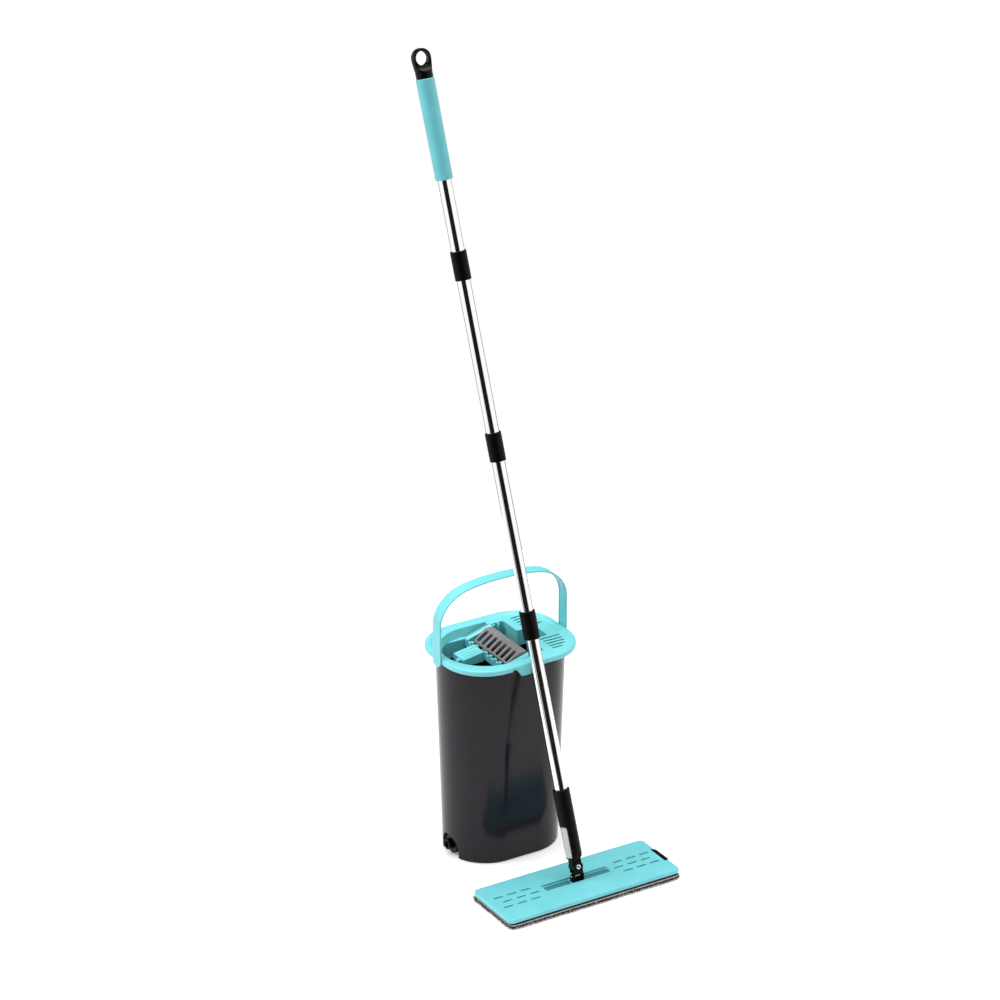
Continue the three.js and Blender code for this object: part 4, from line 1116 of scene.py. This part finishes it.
def outline_point(half_x, half_y, corner, along):
    """The point at a distance along a round rectangle, anticlockwise from the front side's left end."""
    flat_x, flat_y = half_x - corner, half_y - corner
    straight = (2 * flat_x, 2 * flat_y)
    arc = QUARTER * corner
    starts = [(-flat_x, -half_y), (half_x, -flat_y), (flat_x, half_y), (-half_x, flat_y)]
    for side in range(4):
        turn = side * QUARTER
        ahead = Vector((math.cos(turn), math.sin(turn)))
        out = Vector((math.sin(turn), -math.cos(turn)))
        start, length = Vector(starts[side]), straight[side % 2]
        if along <= length:
            place = start + ahead * along
            return place.x, place.y
        along -= length
        if along <= arc:
            angle = along / corner
            hub = start + ahead * length - out * corner
            place = hub + out * (corner * math.cos(angle)) + ahead * (corner * math.sin(angle))
            return place.x, place.y
        along -= arc
    return starts[0]


def ripple(point, size, depth):
    """A smooth random shift whose waves are about size long."""
    return depth * noise.noise(Vector(point) / size)


def mop_pad():
    """The pad: a crowned body of pile with tufts round it, a thin woven backing and a bound upper edge."""
    lowest = TUFT["lowest"]
    rings = []
    for inset, z in PILE_EDGE:
        ring = []
        for x, y, level in pad_ring(inset, z, 2.0):
            swell = ripple((x, y, level * 2), 3.1, 1.3) + ripple((x, y, level), 11, 0.7)
            out = Vector((x / PAD["half_x"], y / PAD["half_y"])).normalized()
            rise = max(lowest, level + ripple((y, x, level), 4, 0.35))
            ring.append((x + out.x * swell, y + out.y * swell, rise))
        rings.append(ring)
    pile = loft(rings)
    settle(pile, "pad_pile", HEAD, "mop_head", PILE, ["mop_pad"])
    pad_tufts()
    backing = loft([pad_ring(inset, z) for inset, z in BACKING_EDGE])
    settle(backing, "pad_backing", HEAD, "mop_head", BACKING, ["mop_pad"])
    binding = loft([pad_ring(inset, z) for inset, z in BINDING_EDGE])
    settle(binding, "pad_binding", HEAD, "mop_head", BINDING, ["mop_pad"])


def pad_tufts():
    """Short twisted loops of yarn that stand out all round the pad's edge."""
    draw = random.Random(7)
    vertices, faces = [], []
    half_x, half_y, corner = (PAD[key] - TUFT["inset"] for key in ("half_x", "half_y", "corner"))
    total = 4 * (half_x + half_y - 2 * corner) + 4 * QUARTER * corner
    count = round(total / TUFT["spacing"])
    for i in range(count):
        along = total * (i + draw.uniform(-0.4, 0.4)) / count % total
        x, y = outline_point(half_x, half_y, corner, along)
        x2, y2 = outline_point(half_x, half_y, corner, (along + 0.5) % total)
        ahead = Vector((x2 - x, y2 - y, 0)).normalized()
        out = Vector((ahead.y, -ahead.x, 0))
        start = Vector((x, y, draw.uniform(3.0, 5.6)))
        reach, drop, lean = draw.uniform(1.6, 4.2), draw.uniform(1.6, 3.0), draw.uniform(-1.6, 1.6)
        width = draw.uniform(0.5, 0.85)
        add_tuft(vertices, faces, start, out * reach + ahead * lean, drop, width)
    tufts = solid(vertices, faces)
    settle(tufts, "pad_fringe", HEAD, "mop_head", PILE, ["mop_pad"])


def add_tuft(vertices, faces, start, throw, drop, width):
    """One strand that leaves the edge, bends down and ends above the floor."""
    sides, parts = 5, 4
    stations = []
    for k in range(parts + 1):
        t = k / parts
        place = start + throw * (t * (1.6 - 0.6 * t)) - Vector((0, 0, drop * t * t))
        place.z = max(place.z, 0.45)
        stations.append(place)
    base = len(vertices)
    for k, place in enumerate(stations):
        ahead = (stations[min(k + 1, parts)] - stations[max(k - 1, 0)]).normalized()
        across = ahead.cross(Vector((0, 0, 1))).normalized()
        up = across.cross(ahead)
        size = width * (1, 1.08, 1, 0.82, 0.35)[k]
        for n in range(sides):
            angle = 2 * math.pi * n / sides + 0.7 * k
            point = place + across * (size * math.cos(angle)) + up * (size * math.sin(angle))
            vertices.append((point.x, point.y, max(point.z, TUFT["lowest"])))
    for k in range(parts):
        for n in range(sides):
            a, b = base + k * sides + n, base + k * sides + (n + 1) % sides
            faces.append((a, b, b + sides, a + sides))
    faces.append(tuple(base + n for n in reversed(range(sides))))
    faces.append(tuple(base + parts * sides + n for n in range(sides)))


def hinge_bracket():
    """The bracket on the plate, with an ear on each side for the hinge's pin."""
    bottom, top, radius = PLATE["top"] - BRACKET["root"], BRACKET["top"], BRACKET["ear_radius"]
    outline = round_rectangle(BRACKET["half_x"], BRACKET["half_y"], BRACKET["corner"])
    base = prism(outline, bottom, top)
    for side in (-1, 1):
        ends = between(side, BRACKET["ear"], BRACKET["half_x"])
        join(base, block(*ends, -radius, radius, bottom, PIN_Z), rod(radius, *ends, "x", PIN_CENTRE))
        place = (side * BRACKET_SCREW["x"], 0, 0)
        cut(base, rod(BRACKET_SCREW["bore"], bottom - PAST, top + PAST, "z", place, 24))
    reach = BRACKET["half_x"] + PAST
    cut(base, rod(PIN_BORE, -reach, reach, "x", PIN_CENTRE, 24))
    soften(base, 0.35, 2)
    settle(base, "hinge_base", HEAD, "mop_head", BLACK, ["hinge_bracket"])


# ---- Yoke: z runs along the yoke and y along the swing screw -------------------------------------

PIVOT = (SWING_SCREW - TILT_PIN).length / MM
PIVOT_CENTRE = (0, 0, PIVOT)
CHEEK = {"inner": 7, "outer": 8.8, "radius": 9, "bottom": 5.4}
YOKE_HALF = 7.7
YOKE_FOOT = 4.4
YOKE_TOP = 7
PIN = {"radius": 1.5, "half": 11.8}
SCREW = {"bore": 2.3, "radius": 2, "head": 4, "height": 1.6, "end": 2.6}
DRIVE_RADIUS = 2.1
NUT = {"radius": 4.2, "height": 2.6}
# The gap between a cheek and the screw's head or the nut.
STAND_OFF = 0.3


def yoke():
    """The fork: a round foot on the hinge's pin and two cheeks round the pole's tongue."""
    half, foot, outer, top = YOKE_HALF, YOKE_FOOT, CHEEK["outer"], YOKE_TOP
    body = rod(foot, -half, half, "x")
    join(body, block(-half, half, -foot, foot, 0, top))
    join(body, block(-half, half, -outer, outer, 5, top))
    for side in (-1, 1):
        ends = between(side, CHEEK["inner"], outer)
        cheek = block(-half, half, *ends, CHEEK["bottom"], PIVOT)
        join(body, cheek, rod(CHEEK["radius"], *ends, "y", PIVOT_CENTRE))
    slot = half - 1.5
    cut(body, block(-slot, slot, -foot - PAST, 0, -PIN_BORE, PIN_BORE))
    cut(body, rod(PIN_BORE, -9, 9, "x", sides=24), rod(SCREW["bore"], -10, 10, "y", PIVOT_CENTRE, 32))
    soften(body, 0.45, 2)
    settle(body, "swivel_fork", YOKE, "yoke", BLACK, ["swivel_yoke"])


def screw_profile(face):
    """The socket screw's outline: a domed head in front of the face and a shank with a bevelled end."""
    steps, tip, head, radius = 6, face - SCREW["height"], SCREW["head"], SCREW["radius"]
    dome = [(0, tip), (0.4, tip)]
    for i in range(1, steps + 1):
        angle = QUARTER * i / steps
        dome.append((head * math.sin(angle), face - 0.35 - 1.25 * math.cos(angle)))
    end = CHEEK["outer"] + SCREW["end"]
    return dome + [(head, face), (radius, face), (radius, end - 0.2), (radius - 0.2, end), (0, end)]


def yoke_fasteners():
    """The hinge's pin, and the socket screw and nut that hold the pole."""
    pin = rod(PIN["radius"], -PIN["half"], PIN["half"], "x", sides=32, edge=0.4)
    settle(pin, "hinge_pin", YOKE, "yoke", CHROME, ["tilt_pin"])
    face = -CHEEK["outer"] - STAND_OFF
    screw = turned(screw_profile(face), "y", PIVOT_CENTRE, 48)
    cut(screw, rod(DRIVE_RADIUS, face - 3, face - 0.3, "y", PIVOT_CENTRE, 6))
    soften(screw, 0.12, 2, 45)
    settle(screw, "socket_screw", YOKE, "yoke", CHROME, ["swing_screw"])
    # Painted shade: a black disc at the bottom of the screw's hex drive.
    shade = rod(DRIVE_RADIUS - 0.1, face - 0.9, face - 0.3, "y", PIVOT_CENTRE, 6)
    settle(shade, "socket_screw_drive_shade", YOKE, "yoke", BLACK, ["swing_screw"])
    low = CHEEK["outer"] + STAND_OFF
    nut = rod(NUT["radius"], low, low + NUT["height"], "y", PIVOT_CENTRE, 6)
    cut(nut, rod(SCREW["bore"], low - PAST, low + 4, "y", PIVOT_CENTRE, 32))
    soften(nut, 0.3, 2)
    settle(nut, "hex_nut", YOKE, "yoke", STEEL, ["swing_nut"])


# ---- Pole: z is the distance along it from the swing screw ---------------------------------------

TUBE = {"radius": 11, "wall": 1.2, "starts": (77, 418, 720, 1022), "end": 1316}
# The gap between a tube and what it slides into or meets.
GAP = 0.3
# The socket is bored wide for its core up to "split", and then for the tube.
SOCKET = {"radius": 14.2, "top": 135, "floor": 17, "bore": 12.9, "split": 76.9}
# The socket's outside from its foot up, as (radius, height): a rounded foot and a fine groove near the top.
SOCKET_SIDE = [
    (0, 13.2), (8.4, 13.2), (10.6, 14.2), (12.6, 15.4), (13.7, 17.6), (14.2, 22),
    (14.2, 128.6), (13.85, 129), (13.85, 130.2), (14.2, 130.6), (14.2, 134.3), (13.5, 135), (0, 135),
]
CORE = {"radius": 12.6, "bore": 9.5, "bottom": 17.4, "top": 76.6}
TONGUE = {"half": 6.5, "radius": 8.5, "top": 15}
WINDOW = {"x": -8.8, "top": 72}
COLLAR = {"radius": 13.4, "half": 24}
# Near each end of a collar a groove, as (distance from the middle, half width, depth).
COLLAR_GROOVE = (20.5, 0.5, 0.35)
THREAD = {"radius": 9.4, "root": 8.7, "pitch": 1.6, "count": 10, "start": -8, "half": 25}
GRIP = {"bottom": 1163, "top": 1328, "low_radius": 14.3, "radius": 15}
RING = {"bottom": 1328.4, "base": 14, "centre": 1360.5, "outer": 16.2, "hole": 11.7, "half": 5}
RING_PLUG = {"radius": 9.3, "depth": 22}


def socket():
    """The pole's foot: a sleeve with a window on its left that narrows to the tongue on the screw."""
    radius, top, floor = SOCKET["radius"], SOCKET["top"], SOCKET["floor"]
    body = turned(SOCKET_SIDE)
    half, tongue = TONGUE["half"], TONGUE["radius"]
    join(body, block(-tongue, tongue, -half, half, 0, TONGUE["top"]), rod(tongue, -half, half, "y"))
    split = SOCKET["split"]
    tube = rod(TUBE["radius"] + GAP, split - PAST, top + PAST, sides=64)
    cut(body, rod(SOCKET["bore"], floor, split), tube)
    left, right, high = -20, WINDOW["x"], WINDOW["top"]
    outline = rounded([(left, floor, 0), (right, floor, 1.5), (right, high, 4), (left, high, 0)])
    cut(body, prism(outline, -radius - PAST, radius + PAST, "y"))
    cut(body, rod(SCREW["bore"], -8, 8, "y", sides=32))
    soften(body, 0.45, 2)
    settle(body, "lower_socket", POLE, "pole", BLACK, ["pole_socket"])
    core = sleeve(CORE["radius"], CORE["bore"], CORE["bottom"], CORE["top"], 0.6)
    settle(core, "inner_core", POLE, "pole", PALE, ["socket_core"])


def tubes():
    """The four chrome tubes, with a collar and a threaded insert at each joint."""
    starts = TUBE["starts"]
    ends = [*starts[1:], TUBE["end"]]
    radius, half = TUBE["radius"], COLLAR["half"]
    for index, (start, end) in enumerate(zip(starts, ends), 1):
        tube = sleeve(radius, radius - TUBE["wall"], start + GAP, end - GAP, 0.5, sides=96)
        settle(tube, f"chrome_section_{index}", POLE, "pole", CHROME, [f"pole_tube_{index}"])
    away, *groove = COLLAR_GROOVE
    for index, station in enumerate(starts[1:], 1):
        grooves = ((station - away, *groove), (station + away, *groove))
        collar = sleeve(COLLAR["radius"], radius + GAP, station - half, station + half, 0.9, grooves=grooves)
        name, node = f"joint_sleeve_{index}", f"pole_collar_{index}"
        settle(collar, name, POLE, "pole", BLACK, [node])
        threaded_insert(index, station)


def threaded_insert(index, station):
    """The plug inside two tube ends, with its screw thread as a row of fine rounded ridges."""
    radius, root, half = THREAD["radius"], THREAD["root"], THREAD["half"]
    profile = [(0, station - half), (radius - 1, station - half), (radius, station - half + 1)]
    for i in range(THREAD["count"]):
        low = station + THREAD["start"] + THREAD["pitch"] * i
        profile += [(radius, low), (root, low + 0.5), (root, low + 0.9), (radius, low + 1.4)]
    profile += [(radius, station + half - 1), (radius - 1, station + half), (0, station + half)]
    insert = turned(profile, sides=48)
    name, node = f"screw_insert_{index}", f"thread_insert_{index}"
    settle(insert, name, POLE, "pole", BLACK, [node])


def grip():
    """The sleeve at the pole's top, which widens a little upwards and has rounded ends."""
    low, high, thin, thick = GRIP["bottom"], GRIP["top"], GRIP["low_radius"], GRIP["radius"]
    inner = TUBE["radius"] + GAP
    profile = [(inner + 0.2, low), (thin - 1.6, low), (thin - 0.7, low + 0.25)]
    profile += [(thin - 0.15, low + 0.9), (thin, low + 1.8)]
    parts = 12
    for i in range(1, parts):
        t = i / parts
        profile.append((thin + (thick - thin) * (3 * t * t - 2 * t**3), low + (high - low) * t))
    profile += [(thick, high - 1.4), (thick - 0.3, high - 0.5), (thick - 1.1, high)]
    profile += [(inner + 0.2, high), (inner, high - 0.3), (inner, low + 0.3)]
    body = turned(profile, sides=96)
    settle(body, "grip_sleeve", POLE, "pole", GRIP_SKIN, ["grip"])


def ring_face():
    """The end cap from the front: straight base, widening neck and round top."""
    bottom, base, centre, outer = RING["bottom"], RING["base"], RING["centre"], RING["outer"]
    side = bezier((base, bottom + 10), (base, bottom + 20), (outer, centre - 16), (outer, centre - 1), 10)
    outline = [(-base, bottom), (base, bottom)] + [tuple(p) for p in side]
    outline += half_turn(outer, (0, centre), 0)
    return outline + [(-p.x, p.y) for p in reversed(side)]


def ring_side():
    """The end cap from the side: straight base that thins to the flat ring."""
    bottom, base, centre, half = RING["bottom"], RING["base"], RING["centre"], RING["half"]
    top = centre + RING["outer"] + PAST
    back = bezier((base, bottom + 7), (base, bottom + 17), (half, centre - 22), (half, centre - 2), 10)
    outline = [(-base, bottom), (base, bottom)] + [tuple(p) for p in back] + [(half, top), (-half, top)]
    return outline + [(-p.x, p.y) for p in reversed(back)]


def hanging_ring():
    """The end cap: a round base that flows into a flat ring."""
    bottom, base, centre, outer = RING["bottom"], RING["base"], RING["centre"], RING["outer"]
    cap = prism(ring_face(), -base, base, "y")
    common(cap, prism(ring_side(), -outer - PAST, outer + PAST, "x"))
    wide, low, high = outer + 0.4, centre - 4, centre + 20
    profile = [(0, bottom), (base, bottom), (base, bottom + 11), (wide, low), (wide, high), (0, high)]
    common(cap, turned(profile))
    cut(cap, rod(RING["hole"], -20, 20, "y", (0, 0, centre), 64))
    remesh = cap.modifiers.new("remesh", "REMESH")
    remesh.mode = "VOXEL"
    remesh.voxel_size = 0.55
    smooth = cap.modifiers.new("smooth", "SMOOTH")
    smooth.iterations = 9
    smooth.factor = 0.6
    bake(cap)
    join(cap, rod(RING_PLUG["radius"], bottom - RING_PLUG["depth"], bottom + 2, edge=0.8))
    settle(cap, "hanging_ring", POLE, "pole", GLOSS_BLACK, ["hang_cap"], 60)


# ---- Camera, light and floor ---------------------------------------------------------------------

CAMERA_PLACE = Vector((-3.11465, -5.09135, 3.29409))
CAMERA_TURN = (math.radians(65.95), 0, math.radians(-31.45))
LENS_MM = 143.7
SENSOR_MM = 36
CAD_CENTRE = (Vector(CAD_BOX[0]) + Vector(CAD_BOX[1])) / 2
# The floor's radius, drop, and the glow that fades from its middle outwards.
FLOOR = {"radius": 1.2, "drop": 0.0004}
GLOW = {"From Min": 0.3, "From Max": 0.85, "To Min": 0.24, "To Max": 0.06}
# The unlit gap of the studio: its middle, half widths and the sines of the elevations that bound it.
DARK_GAP = {
    "azimuth": math.radians(-114.5),
    "wide": math.radians(46),
    "narrow": math.radians(29),
    "widest": math.radians(62),
    "bottom": -0.14,
    "narrow_from": 0.03,
    "narrow_to": 0.12,
    "widest_from": 0.22,
    "widest_to": 0.34,
    "top": 0.6,
    "depth": 0.99,
    "side_blur": 0.06,
    "bottom_blur": 0.02,
    "top_blur": 0.1,
}
# The studio's brightness is the product of two steps, each (from, to, value below, value above),
# where from and to are sines of the elevation.
WALL_GLOW = (0.22, 0.4, 1.1, 0.64)
CEILING_GLOW = (0.66, 0.92, 1, 3.6)
# A grey panel low behind the set, which the edges of the tubes mirror.
GREY_PANEL = {
    "azimuth": math.radians(58),
    "half": math.radians(50),
    "top": -0.17,
    "depth": 0.85,
    "side_blur": 0.1,
    "top_blur": 0.04,
}
# Soft boxes as (name, place, aim, size, power), in metres and watts.
SOFT_BOXES = [
    ("key", (-3.5, 0.7, 3.4), (0, 0, 0.4), (2.0, 2.0), 70),
    ("top", (0.4, 0.6, 4.4), (0, 0, 0.3), (2.4, 2.4), 46),
]


def camera():
    data = bpy.data.cameras.new("camera")
    data.lens = LENS_MM
    data.sensor_width = SENSOR_MM
    data.clip_end = 60
    made = bpy.data.objects.new("camera", data)
    made.location = CAMERA_PLACE
    made.rotation_euler = CAMERA_TURN
    bpy.context.scene.collection.objects.link(made)
    bpy.context.scene.camera = made


def area_light(name, place, aim, size, power):
    data = bpy.data.lights.new(name, "AREA")
    data.shape = "RECTANGLE"
    data.size, data.size_y = size
    data.energy = power
    made = bpy.data.objects.new(name, data)
    made.location = place
    made.rotation_euler = (Vector(aim) - Vector(place)).to_track_quat("-Z", "Y").to_euler()
    bpy.context.scene.collection.objects.link(made)
    return made


def floor():
    """A round sheet of white paper under the set, with a soft glow round the object."""
    radius, steps = FLOOR["radius"], 128
    turns = [2 * math.pi * i / steps for i in range(steps)]
    ring = [(radius * math.cos(t), radius * math.sin(t), 0) for t in turns]
    obj = solid(ring, [tuple(range(steps))], "floor")
    obj.location = (*CAD_CENTRE.xy, -FLOOR["drop"])
    finish = Finish("floor_paper", 0.7, specular=0.1)
    finish.shader.inputs["Emission Color"].default_value = (1, 1, 1, 1)
    distance = finish.node("ShaderNodeVectorMath", operation="LENGTH")
    finish.link(finish.coordinates, distance.inputs[0])
    pool = finish.node("ShaderNodeMapRange", interpolation_type="SMOOTHSTEP")
    for key, number in GLOW.items():
        pool.inputs[key].default_value = number
    finish.link(distance.outputs["Value"], pool.inputs["Value"])
    finish.link(pool.outputs["Result"], finish.shader.inputs["Emission Strength"])
    finish.colour(finish.noise(180, 3), tones((0.86, 0.86, 0.86), 0.008))
    finish.bump(finish.noise(3, 3), 0.02, 0.2)
    obj.data.materials.append(finish.material)


class Surround:
    """Math nodes of the world's shader."""

    def __init__(self, tree):
        self.tree = tree

    def maths(self, operation, *values):
        made = self.tree.nodes.new("ShaderNodeMath")
        made.operation = operation
        for place, value in enumerate(values):
            if isinstance(value, (int, float)):
                made.inputs[place].default_value = value
            else:
                self.tree.links.new(value, made.inputs[place])
        return made.outputs[0]

    def away(self, azimuth, centre, period=2 * math.pi):
        """The angle between an azimuth and the nearest of the centres that repeat with a period."""
        side = self.maths("SUBTRACT", azimuth, centre)
        return self.maths("ABSOLUTE", self.maths("WRAP", side, period / 2, -period / 2))

    def step(self, value, start, end, low=0.0, high=1.0):
        """A smooth change from low to high while a value goes from start to end."""
        made = self.tree.nodes.new("ShaderNodeMapRange")
        made.interpolation_type = "SMOOTHSTEP"
        for key, number in (("From Min", start), ("From Max", end), ("To Min", low), ("To Max", high)):
            made.inputs[key].default_value = number
        self.tree.links.new(value, made.inputs["Value"])
        return made.outputs["Result"]

    def fade(self, value, middle_of_edge, blur, low=0.0, high=1.0):
        return self.step(value, middle_of_edge - blur, middle_of_edge + blur, low, high)


def dark_gap(surround, azimuth, z):
    """How far the dark gap covers a direction, from 0 to 1."""
    wide, narrow, widest = DARK_GAP["wide"], DARK_GAP["narrow"], DARK_GAP["widest"]
    lower = surround.step(z, DARK_GAP["narrow_from"], DARK_GAP["narrow_to"], wide, narrow)
    upper = surround.step(z, DARK_GAP["widest_from"], DARK_GAP["widest_to"], narrow, widest)
    half = surround.maths("MAXIMUM", lower, upper)
    beyond = surround.maths("SUBTRACT", surround.away(azimuth, DARK_GAP["azimuth"], math.pi), half)
    across = surround.fade(beyond, 0, DARK_GAP["side_blur"], 1, 0)
    above = surround.fade(z, DARK_GAP["bottom"], DARK_GAP["bottom_blur"])
    below = surround.fade(z, DARK_GAP["top"], DARK_GAP["top_blur"], 1, 0)
    return surround.maths("MULTIPLY", across, surround.maths("MULTIPLY", above, below))


def grey_panel(surround, azimuth, z):
    """How much light the grey panel takes from a direction."""
    near = surround.away(azimuth, GREY_PANEL["azimuth"], math.pi)
    panel = surround.fade(near, GREY_PANEL["half"], GREY_PANEL["side_blur"], GREY_PANEL["depth"], 0)
    low = surround.fade(z, GREY_PANEL["top"], GREY_PANEL["top_blur"], 1, 0)
    return surround.maths("MULTIPLY", panel, low)


def world():
    """A white studio all round, with dark gaps in front and behind that polished surfaces mirror."""
    made = bpy.data.worlds.new("studio")
    made.use_nodes = True
    tree = made.node_tree
    surround = Surround(tree)
    direction = tree.nodes.new("ShaderNodeSeparateXYZ")
    tree.links.new(tree.nodes.new("ShaderNodeTexCoord").outputs["Generated"], direction.inputs[0])
    x, y, z = direction.outputs
    azimuth = surround.maths("ARCTAN2", y, x)
    pale = surround.maths("MULTIPLY", surround.step(z, *WALL_GLOW), surround.step(z, *CEILING_GLOW))
    dark = surround.maths("MULTIPLY", dark_gap(surround, azimuth, z), DARK_GAP["depth"])
    shade = surround.maths("MAXIMUM", dark, grey_panel(surround, azimuth, z))
    glow = surround.maths("MULTIPLY", pale, surround.maths("SUBTRACT", 1, shade))
    background = tree.nodes["Background"]
    background.inputs["Color"].default_value = (1, 1, 1, 1)
    tree.links.new(glow, background.inputs["Strength"])
    seen = tree.nodes.new("ShaderNodeBackground")
    seen.inputs["Color"].default_value = (1, 1, 1, 1)
    mix = tree.nodes.new("ShaderNodeMixShader")
    tree.links.new(tree.nodes.new("ShaderNodeLightPath").outputs["Is Camera Ray"], mix.inputs[0])
    tree.links.new(background.outputs[0], mix.inputs[1])
    tree.links.new(seen.outputs[0], mix.inputs[2])
    tree.links.new(mix.outputs[0], tree.nodes["World Output"].inputs["Surface"])
    bpy.context.scene.world = made


def lights():
    for soft_box in SOFT_BOXES:
        area_light(*soft_box)


camera()
world()
lights()
floor()
bpy.context.scene.view_settings.view_transform = "Standard"

bucket_body()
drain_plug()
lid()
comb()
spring_housing()
comb_spring()
bail()
mop_plate()
pad_tab()
mop_pad()
hinge_bracket()
yoke()
yoke_fasteners()
socket()
tubes()
grip()
hanging_ring()
for strip in ("hook_strip_front", "hook_strip_rear"):
    polish(strip, HOOK_TAPE)
for screw in ("bracket_screw_left", "bracket_screw_right"):
    polish(screw, STEEL, 0.25)
